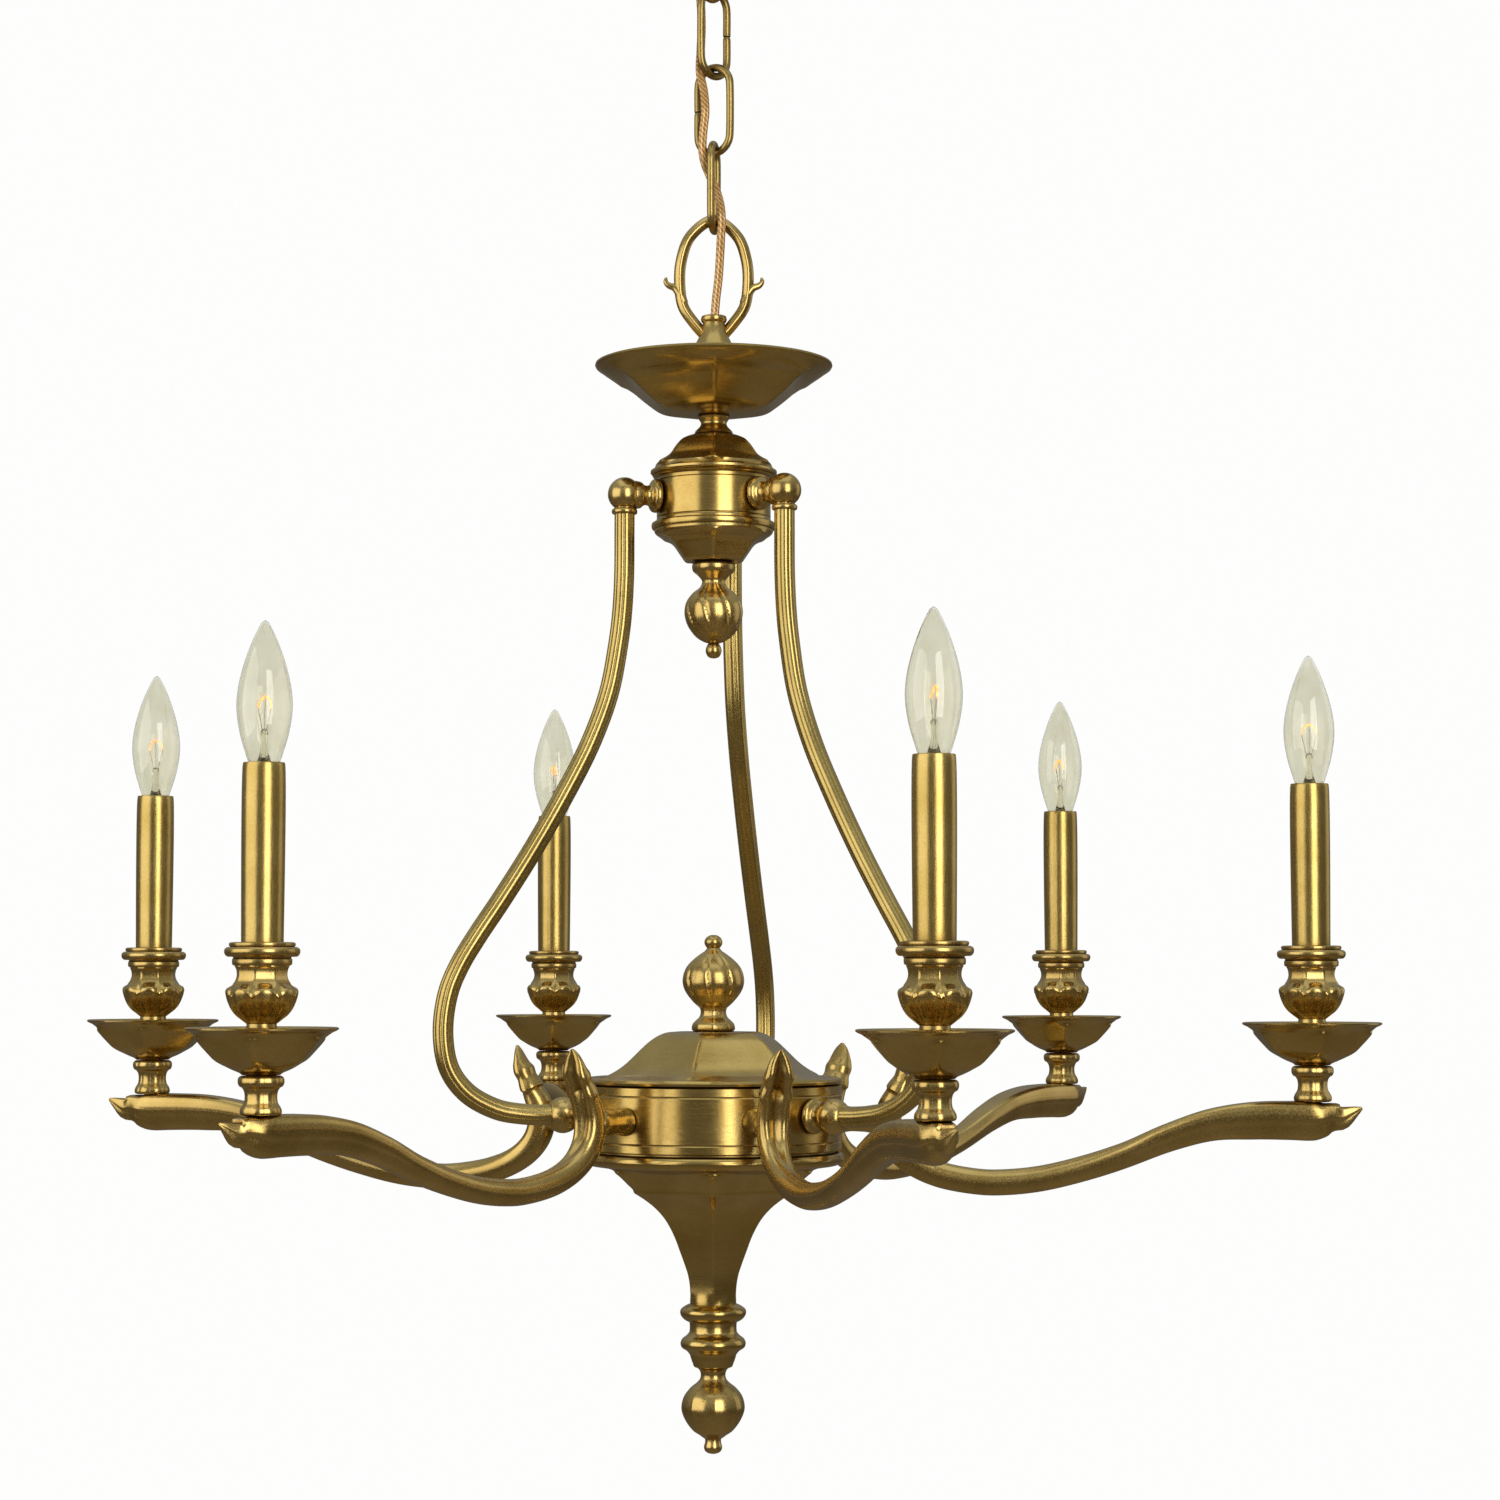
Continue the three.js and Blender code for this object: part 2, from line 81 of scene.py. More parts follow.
ARM_ROOT = -88  # level of the arms' joints into the lower drum
FACET_TURN = 41.7  # one corner of the six-sided pieces, in degrees
CORNERS = 1.12  # how far the corners of the six-sided castings stand out
CAP_CORNERS = 1.05  # the same for the lower hub's cap
PAN_CORNERS = 1.07  # the same for the drip pans
DRUM_R = 80.5
UPPER_DRUM_R = 36
JOINT_GAP = 0.4  # between the lower drum and what meets its side
COVER_R = 11.5
COVER_WALL = 0.9
CUP_LOBES = 8
CUP_TURN = 0.27  # where the cup's lobes start, as a share of a lobe
LOOP_TURN = 12
CEILING_LOOP_TURN = -33
LINK_TURNS = (57, -18, 92)
LINK_SPLIT_SIDE = (1, -1, 1)  # which leg of each link holds the open joint
LINK_PITCH = 50
LINK_HALF_LENGTH = 27.7
LINK_HALF_WIDTH = 11.6
LOOP_BAR = 624.5  # level of the ceiling loop's bar, which the top link hangs on
WIRE_R = 2.4


# ---------------------------------------------------------------- camera
CAMERA_AZIMUTH, CAMERA_PITCH, CAMERA_YAW = 11.7, 3.785, 0.61  # degrees
CAMERA_AWAY = 2.16  # metres from the chandelier's axis
LENS, SENSOR = 82.34, 36


def camera():
    """The camera, and the level directions to its right and away from it."""
    azimuth, pitch, yaw = map(math.radians, (CAMERA_AZIMUTH, CAMERA_PITCH, CAMERA_YAW))
    right = Vector((math.cos(azimuth), math.sin(azimuth), 0))
    away = Vector((-math.sin(azimuth), math.cos(azimuth), 0))
    aim = (away * math.cos(yaw) + right * math.sin(yaw)) * math.cos(pitch)
    aim += Vector((0, 0, math.sin(pitch)))
    data = bpy.data.cameras.new("camera")
    data.lens = LENS
    data.sensor_width = SENSOR
    data.clip_end = 50
    eye = bpy.data.objects.new("camera", data)
    eye.location = -away * CAMERA_AWAY + Vector((0, 0, DATUM))
    eye.rotation_euler = aim.to_track_quat("-Z", "Y").to_euler()
    bpy.context.scene.collection.objects.link(eye)
    bpy.context.scene.camera = eye
    return right, away


RIGHT, AWAY = camera()


# ---------------------------------------------------------------- outlines and surfaces
def smooth_line(points, step=1.2):
    """A fine line through points; a point with the extra value 1 is a crisp corner."""
    size = min(len(p) for p in points)
    runs, run = [], []
    for i, point in enumerate(points):
        run.append(point[:size])
        if len(point) > size and 0 < i < len(points) - 1:
            runs.append(run)
            run = [point[:size]]
    runs.append(run)
    line = [np.array(points[0][:size], float)]
    for run in runs:
        p = np.array(run, float)
        gaps = np.linalg.norm(np.diff(p, axis=0), axis=1)
        h = np.sqrt(np.maximum(gaps, 1e-6))[:, None]
        d = np.diff(p, axis=0) / h
        if len(p) == 2:
            m = np.vstack([d, d])
        else:
            inner = (d[:-1] * h[1:] + d[1:] * h[:-1]) / (h[1:] + h[:-1])
            m = np.vstack([1.5 * d[0] - 0.5 * inner[0], inner, 1.5 * d[-1] - 0.5 * inner[-1]])
        for i in range(len(p) - 1):
            for t in np.linspace(0, 1, max(1, int(gaps[i] / step)) + 1)[1:]:
                a, b = (1 + 2 * t) * (1 - t) ** 2, t * t * (3 - 2 * t)
                c, e = t * (1 - t) ** 2, t * t * (t - 1)
                line.append(a * p[i] + b * p[i + 1] + h[i] * (c * m[i] + e * m[i + 1]))
    return np.array(line)


def lathe(outline, sides=96, shape=None, step=1.2, rise=None):
    """An outline of (radius, level), upwards along the outside, turned about Z.
    shape(turn, level) multiplies the radius and rise(turn, level) lifts the level."""
    line = smooth_line(outline, step)
    closed = np.allclose(line[0], line[-1])
    turn = np.arange(sides) * 2 * math.pi / sides
    verts, rings = [], []
    for r, z in line[: len(line) - closed]:
        if r < 1e-4:
            rings.append([len(verts)] * sides)
            verts.append((0, 0, z))
            continue
        k = r * (np.ones(sides) if shape is None else shape(turn, z))
        lift = np.zeros(sides) if rise is None else rise(turn, z)
        rings.append(list(range(len(verts), len(verts) + sides)))
        verts += list(zip(k * np.cos(turn), k * np.sin(turn), z + lift))
    if closed:
        rings.append(rings[0])
    return verts, skin(rings)


def skin(rings):
    """Faces between neighbouring rings of vertex numbers; a ring of one repeated number is a point."""
    faces = []
    for low, high in zip(rings, rings[1:]):
        n = len(low)
        for j in range(n):
            k = (j + 1) % n
            corners = []
            for v in (low[j], low[k], high[k], high[j]):
                if v not in corners:
                    corners.append(v)
            if len(corners) > 2:
                faces.append(tuple(corners))
    return faces


def sweep(path, section, side=None, step=1.5):
    """A section of (across, up) points, or a function of (share of the way, index) that gives one,
    carried along a path; side is the fixed direction that the section's across keeps to."""
    line = smooth_line(path, step)
    along = np.gradient(line, axis=0)
    along /= np.linalg.norm(along, axis=1)[:, None]
    gaps = np.linalg.norm(np.diff(line, axis=0), axis=1)
    share = np.concatenate([[0], np.cumsum(gaps)]) / gaps.sum()
    across = np.array(side if side is not None else (0, 1, 0), float)
    verts, rings = [], []
    for i, point in enumerate(line):
        across = across - along[i] * (across @ along[i])
        across /= np.linalg.norm(across)
        up = np.cross(along[i], across)
        if side is not None:
            across_now, across = across, np.array(side, float)
        else:
            across_now = across
        shape = section(share[i], i) if callable(section) else section
        shape = np.array(shape, float)
        places = point + shape[:, :1] * across_now + shape[:, 1:2] * up
        if shape.shape[1] > 2:
            places = places + shape[:, 2:3] * along[i]
        rings.append(list(range(len(verts), len(verts) + len(shape))))
        verts += list(map(tuple, places))
    return verts, skin(rings) + [tuple(rings[0][::-1]), tuple(rings[-1])]


def oval(a, b=None, count=24, power=2.0):
    """A closed section: a circle, an ellipse, or with a power under 2 one with ridges."""
    b = a if b is None else b
    t = np.arange(count) * 2 * math.pi / count
    k = (np.abs(np.cos(t)) ** power + np.abs(np.sin(t)) ** power) ** (-1 / power)
    return np.column_stack([a * k * np.cos(t), b * k * np.sin(t)])


def facets(corner, mix=lambda z: 1.0, count=6, crisp=60, proud=1.0):
    """Radius factor of a flat-sided figure with soft corners, blended with a circle by level. proud is
    how far the corners stand out from the circle."""
    gap = 2 * math.pi / count
    middles = math.radians(corner) + gap * (np.arange(count) + 0.5)

    def shape(turn, z):
        reach = np.maximum(np.cos(turn[:, None] - middles), 0) ** crisp
        flat = proud * math.cos(gap / 2) * reach.sum(axis=1) ** (-1 / crisp)
        return 1 + (flat - 1) * mix(z)

    return shape


def fade(low, high):
    """0 below low, 1 above high, smooth between."""

    def share(z):
        t = min(max((z - low) / (high - low), 0), 1)
        return t * t * (3 - 2 * t)

    return share


def lobes(count, depth, low, high, swirl=0.0, start=0.0, round_off=0.5, narrow=1.0):
    """Radius factor of rounded lobes with valleys between them, deepest midway from low to high. A larger
    narrow makes the valleys narrower."""

    def shape(turn, z):
        t = min(max((z - low) / (high - low), 0), 1)
        wave = np.abs(np.cos((turn + math.radians(start) + swirl * (z - low)) * count / 2))
        return 1 - depth * math.sin(math.pi * t) ** round_off * (1 - wave) ** narrow

    return shape


def both(first, second):
    return lambda turn, z: first(turn, z) * second(turn, z)


def shifted(part, x=0.0, z=0.0, tilt=0.0):
    """A part tilted about Y by degrees, then moved."""
    across, level, up = np.array(part[0], float).T
    c, s = math.cos(math.radians(tilt)), math.sin(math.radians(tilt))
    tilted = np.column_stack([c * across + s * up, level, c * up - s * across])
    return [tuple(v) for v in tilted + np.array([x, 0, z])], part[1]


def make(name, parts, look, body, nodes, turn=0.0, sharp=38, blend=None):
    """One piece from parts in the datum frame, turned about the axis by degrees. It rides on a body, or,
    given blend, its place is baked in and it rides on no body, since blend's bodies and levels are not read.
    It hides the CAD nodes it stands for."""
    verts, faces = [], []
    for part_verts, part_faces in parts:
        faces += [tuple(v + len(verts) for v in face) for face in part_faces]
        verts += list(part_verts)
    p = np.array(verts, float)
    c, s = math.cos(math.radians(turn)), math.sin(math.radians(turn))
    p = np.column_stack([c * p[:, 0] - s * p[:, 1], s * p[:, 0] + c * p[:, 1], p[:, 2]]) * MM
    p[:, 2] += DATUM
    mesh = bpy.data.meshes.new(name)
    mesh.from_pydata([tuple(v) for v in p], [], faces)
    work = bmesh.new()
    work.from_mesh(mesh)
    bmesh.ops.remove_doubles(work, verts=work.verts, dist=1e-6)
    bmesh.ops.recalc_face_normals(work, faces=work.faces)
    work.to_mesh(mesh)
    work.free()
    mesh.shade_smooth()
    mesh.set_sharp_from_angle(angle=math.radians(sharp))
    mesh.materials.append(look)
    piece = bpy.data.objects.new(name, mesh)
    bpy.context.scene.collection.objects.link(piece)
    if blend:
        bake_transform(piece)
    else:
        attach(piece, body)
    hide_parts(*nodes)
    return piece


# ---------------------------------------------------------------- materials
def nodes_of(name):
    """A new material, its node tree and its shader."""
    material = bpy.data.materials.new(name)
    material.use_nodes = True
    tree = material.node_tree
    return material, tree, tree.nodes["Principled BSDF"]


def add(tree, kind, inputs=None, **settings):
    """A node of a kind, with sockets linked to other nodes' outputs or set to values."""
    node = tree.nodes.new(kind)
    for key, value in settings.items():
        setattr(node, key, value)
    for key, value in (inputs or {}).items():
        if isinstance(value, bpy.types.NodeSocket):
            tree.links.new(value, node.inputs[key])
        else:
            node.inputs[key].default_value = value
    return node


def ramp(tree, source, stops):
    """A colour that follows the source through (place, colour) stops."""
    node = add(tree, "ShaderNodeValToRGB", {"Fac": source})
    band = node.color_ramp
    for i, (place, color) in enumerate(stops):
        stop = band.elements[i] if i < 2 else band.elements.new(place)
        stop.position = place
        stop.color = (*color, 1)
    return node.outputs["Color"]


def mix(tree, kind, share, a, b):
    """Colour b worked into colour a by a share of 0 to 1."""
    node = add(tree, "ShaderNodeMix", {0: share, 6: a, 7: b}, data_type="RGBA", blend_type=kind)
    return node.outputs[2]


RECESS = 0.007  # metres that the painted shade of a recess reaches, the ambient occlusion distance
SPECKS = 0.18  # how far the fine specks tint the colour


def brass(name, pale, dark, roughness, stretch, recess_shade, grain=0.25, bump=0.02, lump=0.0):
    """Brushed or cast brass. stretch scales the brush lines along X, Y and Z, and the sixth value sets how
    dark the painted shade in recesses is, from ambient occlusion, a little duller there too. grain is how far
    the lines tint the colour, and lump adds the pits of a casting."""
    material, tree, shader = nodes_of(name)
    place = add(tree, "ShaderNodeTexCoord").outputs["Object"]
    scaled = add(tree, "ShaderNodeMapping", {"Vector": place, "Scale": stretch})
    lines = add(tree, "ShaderNodeTexNoise", {"Vector": scaled.outputs[0], "Scale": 1.0, "Detail": 3.0,
                                             "Roughness": 0.65}).outputs["Fac"]
    clouds = add(tree, "ShaderNodeTexNoise", {"Vector": place, "Scale": 38.0, "Detail": 4.0,
                                              "Roughness": 0.55}).outputs["Fac"]
    specks = add(tree, "ShaderNodeTexNoise", {"Vector": place, "Scale": 900.0, "Detail": 2.0}).outputs["Fac"]
    color = ramp(tree, clouds, [(0.3, dark), (0.68, pale)])
    brushed = ramp(tree, lines, [(0.3, (0.55, 0.5, 0.42)), (0.7, (1, 1, 1))])
    color = mix(tree, "MULTIPLY", grain, color, brushed)
    specked = ramp(tree, specks, [(0.35, (0.5, 0.42, 0.3)), (0.6, (1, 1, 1))])
    color = mix(tree, "MULTIPLY", SPECKS, color, specked)
    # painted shade: ambient occlusion, made uneven by the clouds noise, darkens the colour in recesses,
    # creases and between parts
    hollow = add(tree, "ShaderNodeAmbientOcclusion", {"Distance": RECESS}, samples=6).outputs["AO"]
    uneven = add(tree, "ShaderNodeMath", {0: clouds, 1: 0.5}, operation="SUBTRACT").outputs[0]
    shade_mask = add(tree, "ShaderNodeMath", {0: hollow, 1: uneven}, operation="ADD").outputs[0]
    painted_shade = ramp(tree, shade_mask, [(0.25, (0.16, 0.1, 0.05)), (0.78, (1, 1, 1))])
    color = mix(tree, "MULTIPLY", recess_shade, color, painted_shade)
    tree.links.new(color, shader.inputs["Base Color"])
    shader.inputs["Metallic"].default_value = 1.0
    spread = {"From Min": 0.3, "From Max": 0.7, "To Min": roughness - 0.07, "To Max": roughness + 0.07}
    rough = add(tree, "ShaderNodeMapRange", {"Value": lines, **spread}).outputs[0]
    # the same painted-shade mask also makes the recesses a little rougher
    dull = {"From Min": 0.3, "From Max": 0.85, "To Min": 0.22 * recess_shade, "To Max": 0.0}
    shade_roughness = add(tree, "ShaderNodeMapRange", {"Value": shade_mask, **dull}).outputs[0]
    total = add(tree, "ShaderNodeMath", {0: rough, 1: shade_roughness}, operation="ADD").outputs[0]
    tree.links.new(total, shader.inputs["Roughness"])
    ground = add(tree, "ShaderNodeBump", {"Height": lines, "Strength": bump * 5, "Distance": 0.0002})
    last = ground
    if lump:
        pores = {"Vector": place, "Scale": 260.0, "Detail": 3.0}
        pits = add(tree, "ShaderNodeTexNoise", pores).outputs["Fac"]
        rough_cast = {"Height": pits, "Strength": lump, "Distance": 0.0004, "Normal": ground.outputs[0]}
        last = add(tree, "ShaderNodeBump", rough_cast)
    tree.links.new(last.outputs[0], shader.inputs["Normal"])
    return material


# Stretches of the brush lines
ROUND = (60, 60, 5200)  # round an upright turned piece
UPRIGHT = (2600, 2600, 90)  # up a piece
LOOSE = (900, 900, 900)  # no direction

BRUSHED = brass("brushed_brass", (0.6, 0.43, 0.15), (0.5, 0.34, 0.1), 0.21, ROUND, 0.55, 0.16, 0.012)
COVER = brass("cover_brass", (0.6, 0.435, 0.15), (0.5, 0.35, 0.1), 0.27, UPRIGHT, 0.5, 0.2, 0.014)
CAST = brass("cast_brass", (0.63, 0.45, 0.165), (0.5, 0.345, 0.11), 0.25, LOOSE, 0.65, 0.1, 0.005, 0.02)
REEDED = brass("reeded_brass", (0.58, 0.43, 0.15), (0.47, 0.34, 0.11), 0.27, LOOSE, 0.8, 0.12, 0.005)
CHAIN = brass("chain_brass", (0.5, 0.36, 0.13), (0.36, 0.25, 0.08), 0.33, LOOSE, 0.9, 0.25, 0.03, 0.05)


def plain_metal(name, pale, dark, roughness):
    """Plated or bare metal with a fine uneven surface."""
    material, tree, shader = nodes_of(name)
    place = add(tree, "ShaderNodeTexCoord").outputs["Object"]
    noise = add(tree, "ShaderNodeTexNoise", {"Vector": place, "Scale": 420.0, "Detail": 5.0}).outputs["Fac"]
    tree.links.new(ramp(tree, noise, [(0.35, dark), (0.65, pale)]), shader.inputs["Base Color"])
    shader.inputs["Metallic"].default_value = 1.0
    spread = {"To Min": roughness - 0.1, "To Max": roughness + 0.1}
    rough = add(tree, "ShaderNodeMapRange", {"Value": noise, **spread})
    tree.links.new(rough.outputs[0], shader.inputs["Roughness"])
    bumps = add(tree, "ShaderNodeBump", {"Height": noise, "Strength": 0.15, "Distance": 0.0002})
    tree.links.new(bumps.outputs[0], shader.inputs["Normal"])
    return material


STEEL = plain_metal("zinc_steel", (0.56, 0.56, 0.54), (0.34, 0.34, 0.33), 0.4)
NICKEL = plain_metal("nickel_wire", (0.62, 0.6, 0.56), (0.3, 0.28, 0.25), 0.3)


def ceramic():
    material, tree, shader = nodes_of("socket_ceramic")
    place = add(tree, "ShaderNodeTexCoord").outputs["Object"]
    noise = add(tree, "ShaderNodeTexNoise", {"Vector": place, "Scale": 300.0, "Detail": 4.0}).outputs["Fac"]
    color = ramp(tree, noise, [(0.3, (0.66, 0.62, 0.5)), (0.7, (0.78, 0.75, 0.65))])
    tree.links.new(color, shader.inputs["Base Color"])
    rough = add(tree, "ShaderNodeMapRange", {"Value": noise, "To Min": 0.35, "To Max": 0.6})
    tree.links.new(rough.outputs[0], shader.inputs["Roughness"])
    return material


def bulb_glass():
    material, tree, shader = nodes_of("bulb_glass")
    place = add(tree, "ShaderNodeTexCoord").outputs["Object"]
    noise = add(tree, "ShaderNodeTexNoise", {"Vector": place, "Scale": 60.0, "Detail": 2.0}).outputs["Fac"]
    tint = ramp(tree, noise, [(0.3, (0.79, 0.775, 0.67)), (0.7, (0.85, 0.84, 0.745))])
    tree.links.new(tint, shader.inputs["Base Color"])
    rough = add(tree, "ShaderNodeMapRange", {"Value": noise, "To Min": 0.0, "To Max": 0.05})
    tree.links.new(rough.outputs[0], shader.inputs["Roughness"])
    shader.inputs["Transmission Weight"].default_value = 1.0
    shader.inputs["IOR"].default_value = 1.45
    return material


def glow():
    material, tree, shader = nodes_of("filament")
    place = add(tree, "ShaderNodeTexCoord").outputs["Object"]
    noise = add(tree, "ShaderNodeTexNoise", {"Vector": place, "Scale": 400.0}).outputs["Fac"]
    warm = ramp(tree, noise, [(0.3, (1.0, 0.22, 0.03)), (0.7, (1.0, 0.42, 0.1))])
    tree.links.new(warm, shader.inputs["Base Color"])
    tree.links.new(warm, shader.inputs["Emission Color"])
    shader.inputs["Emission Strength"].default_value = 2.2
    shader.inputs["Roughness"].default_value = 0.5
    return material


def cord_skin():
    material, tree, shader = nodes_of("gold_cord")
    place = add(tree, "ShaderNodeTexCoord").outputs["Object"]
    waves = {"Vector": place, "Scale": 190.0, "Distortion": 1.5, "Detail": 2.0}
    twist = add(tree, "ShaderNodeTexWave", waves, bands_direction="DIAGONAL").outputs["Fac"]
    noise = add(tree, "ShaderNodeTexNoise", {"Vector": place, "Scale": 700.0, "Detail": 3.0}).outputs["Fac"]
    color = ramp(tree, twist, [(0.2, (0.36, 0.17, 0.035)), (0.8, (0.72, 0.42, 0.12))])
    color = mix(tree, "MULTIPLY", 0.3, color, ramp(tree, noise, [(0.35, (0.5, 0.4, 0.3)), (0.65, (1, 1, 1))]))
    tree.links.new(color, shader.inputs["Base Color"])
    bumps = add(tree, "ShaderNodeBump", {"Height": twist, "Strength": 0.2, "Distance": 0.0003})
    tree.links.new(bumps.outputs[0], shader.inputs["Normal"])
    shader.inputs["Metallic"].default_value = 0.35
    shader.inputs["Roughness"].default_value = 0.36
    shader.inputs["Coat Weight"].default_value = 1.0
    shader.inputs["Coat Roughness"].default_value = 0.12
    return material


CERAMIC, GLASS, GLOW, CORD = ceramic(), bulb_glass(), glow(), cord_skin()

# ---------------------------------------------------------------- supply cord
# Upwards from the loop's neck to the canopy, in the loop's own turn.
CORD_ROUTE = [
    (0, 0, 409), (0.4, 0, 417), (1.4, 0, 430), (3, -0.8, 444), (3.9, -2.6, 458), (4.5, -5.4, 470),
    (4.9, -7, 480), (4.2, -6, 489), (1.8, -3, 499), (-2.4, -1.4, 509), (-6, -2.2, 518),
    (-7.4, -3.2, 527), (-6.8, -4.6, 538), (-5.6, -5.4, 550), (-6.4, -3.6, 563), (-9, -1.4, 577),
    (-8.6, 0, 590), (-8, 0.4, 605), (-8.2, 0.2, 617), (-8.6, -0.3, 627), (-5.4, -0.2, 638),
    (-2, 0, 648), (0, 0, 659), (0, 0, 672), (0, 0, 690),
]
CORD_WIDTH = 5.4
WIRE_SKIN_R = 1.4  # outside of one insulated wire
BEND_REACH = 15  # the span above and below a joint that is handed to make in blend
# Name, lowest and highest level, body below, body above, level of the joint between them
CORD_RUNS = [
    ("cord_loop", 409, 499.5, "chandelier", "link_3", 474.5),
    ("cord_link_3", 499.5, 549.5, "link_3", "link_2", 524.5),
    ("cord_link_2", 549.5, 599.5, "link_2", "link_1", 574.5),
    ("cord_ceiling", 599.5, 690, "link_1", "ceiling", 624.5),
]


def twin_section():
    """Two round insulated wires side by side with a thin web between them."""
    r = WIRE_SKIN_R
    half = CORD_WIDTH / 2 - r
    right = [(half + r * math.cos(a), r * math.sin(a)) for a in np.radians(np.arange(-112, 113, 28))]
    left = [(-x, -y) for x, y in right]
    return right + [(0, 0.95)] + left + [(0, -0.95)]


def cords():
    c, s = math.cos(math.radians(LOOP_TURN)), math.sin(math.radians(LOOP_TURN))
    line = smooth_line(CORD_ROUTE, 1.5)
    line = np.column_stack([c * line[:, 0] - s * line[:, 1], s * line[:, 0] + c * line[:, 1], line[:, 2]])
    for name, low, high, below, above, pivot in CORD_RUNS:
        inside = line[(line[:, 2] > low + 0.4) & (line[:, 2] < high - 0.4)]
        first = [np.interp(low, line[:, 2], line[:, i]) for i in range(3)]
        last = [np.interp(high, line[:, 2], line[:, i]) for i in range(3)]
        run = np.vstack([first, inside, last])
        tube = sweep([tuple(p) for p in run], twin_section(), side=(c, s, 0), step=50)
        middle = Vector((0, 0, DATUM + pivot * MM))
        lift = Vector((0, 0, BEND_REACH * MM))
        piece = make(name, [tube], CORD, None, ["supply_cord"], sharp=80,
                     blend=(below, above, middle - lift, middle + lift))


cords()


# ---------------------------------------------------------------- ceiling fittings and chain
def ceiling_fittings():
    canopy = [
        (14.4, -27.6), (19, -27.5), (24, -26.4), (27, -24, 1), (30, -22.4), (36, -20.4), (42, -17.2),
        (46, -13.4), (52, -10.8, 1), (55, -10.6), (60.4, -8.4), (63.6, -3.6), (64, 0, 1), (62, 0, 1),
        (61.2, -4.2), (58, -7.4), (51.4, -9.2), (44.6, -12.6), (40.4, -16), (29, -20.6), (23, -25.2),
        (14.4, -25.9, 1), (14.4, -27.6),
    ]
    make("canopy_fine", [shifted(lathe(canopy, 128), z=CEILING)], BRUSHED, "ceiling",
         ["canopy"])
    least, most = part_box("canopy_collar")
    low, high = ((v[2] - DATUM) / MM - CEILING for v in (least, most))
    outer = (most[0] - least[0]) / 2 / MM
    inner = 11.4
    middle = (low + high) / 2
    collar = [
        (inner, low, 1), (outer - 1.2, low + 0.2), (outer, low + 1.6), (outer - 0.2, middle - 1, 1),
        (outer - 1, middle, 1), (outer - 0.2, middle + 1, 1), (outer, high - 1.6),
        (outer - 1.2, high - 0.1), (inner, high, 1), (inner, low),
    ]
    knurl = lambda turn, z: 1 + 0.012 * np.cos(48 * turn)
    make("canopy_collar_fine", [shifted(lathe(collar, 288, knurl, 1.0), z=CEILING)], CAST, "ceiling",
         ["canopy_collar"])
    shank = [
        (3.6, 664, 1), (8.6, 664), (9.8, 665.2), (10.6, 668, 1), (11, 668.6), (11, 685.4),
        (10.4, 686, 1), (5, 686, 1), (5, 697.4, 1), (3.6, 697.4, 1), (3.6, 664),
    ]
    ring = [(-5.4, 0, 668), (-9.4, 0, 661), (-10.8, 0, 650), (-10.4, 0, 638), (-7.4, 0, 628.6),
            (0, 0, LOOP_BAR)]
    ring += [(-x, y, z) for x, y, z in ring[-2::-1]]
    bar = sweep(ring, oval(WIRE_R + 0.1, count=24), side=(0, 1, 0))
    make("canopy_loop_fine", [lathe(shank, 64), bar], CAST, "ceiling", ["canopy_loop"],
         CEILING_LOOP_TURN)


def chain_link(number):
    """An oval of wire with an open joint in one leg, its cut ends a little rounded."""
    straight = LINK_HALF_LENGTH - LINK_HALF_WIDTH
    bends = np.radians(np.arange(-90, 91, 15))
    r = LINK_HALF_WIDTH
    ends = [[(e * r * math.sin(a), 0, e * (straight + r * math.cos(a))) for a in bends] for e in (-1, 1)]
    mouth = 0.35
    path = [(r, 0, -mouth)] + ends[0] + ends[1] + [(r, 0, mouth)]
    wire = oval(WIRE_R + 0.08, count=22)
    section = lambda share, i: wire * (0.86 if share in (0, 1) else 1)
    turn = LINK_TURNS[number] + (0 if LINK_SPLIT_SIDE[number] > 0 else 180)
    level = LOOP_BAR - LINK_PITCH * (number + 1) + LINK_HALF_LENGTH
    tag = str(number + 1)
    make("link_wire_" + tag, [shifted(sweep(path, section, side=(0, 1, 0), step=1.2), z=level)], CHAIN,
         "link_" + tag, ["chain_link_" + tag], turn)


# ---------------------------------------------------------------- top loop, dish, upper hub
HORN_PLACES, HORN_RADII = (0, 0.35, 0.75, 0.93, 1), (3.3, 2.9, 1.9, 1.3, 0.5)


def top_loop():
    neck = [
        (0, 359.3), (16.6, 359.3, 1), (17.6, 364), (18.2, 372), (17.8, 380), (16.6, 388), (14.2, 396),
        (11.4, 402), (9.2, 406.6), (7.8, 411), (7.0, 415, 1), (7.9, 415.8), (8.3, 417.4), (7.8, 419.2),
        (6.8, 419.6, 1), (3.7, 419.6, 1), (3.7, 405.2, 1), (0, 405.2),
    ]
    half = [(-6, 0, 407.4), (-13, 0, 415.6), (-19.4, 0, 425.4), (-21.7, 0, 439), (-20.8, 0, 455),
            (-14.8, 0, 471), (0, 0, 481.3)]
    ring = half + [(-x, y, z) for x, y, z in half[-2::-1]]
    parts = [lathe(neck, 72), sweep(ring, oval(3.3, 3.6, 28, 1.45), side=(0, 1, 0))]
    for side in (-1, 1):
        horn = [(side * 19.6, 0, 428), (side * 21.8, 0, 434), (side * 25, 0, 437.8), (side * 28.4, 0, 439),
                (side * 30.6, 0, 441.4), (side * 30.2, 0, 444.4)]
        taper = lambda share, i: oval(1, 1, 16) * np.interp(share, HORN_PLACES, HORN_RADII)
        parts.append(sweep(horn, taper, side=(0, 1, 0), step=0.8))
    make("loop_casting", parts, CAST, "chandelier", ["top_loop"], LOOP_TURN)


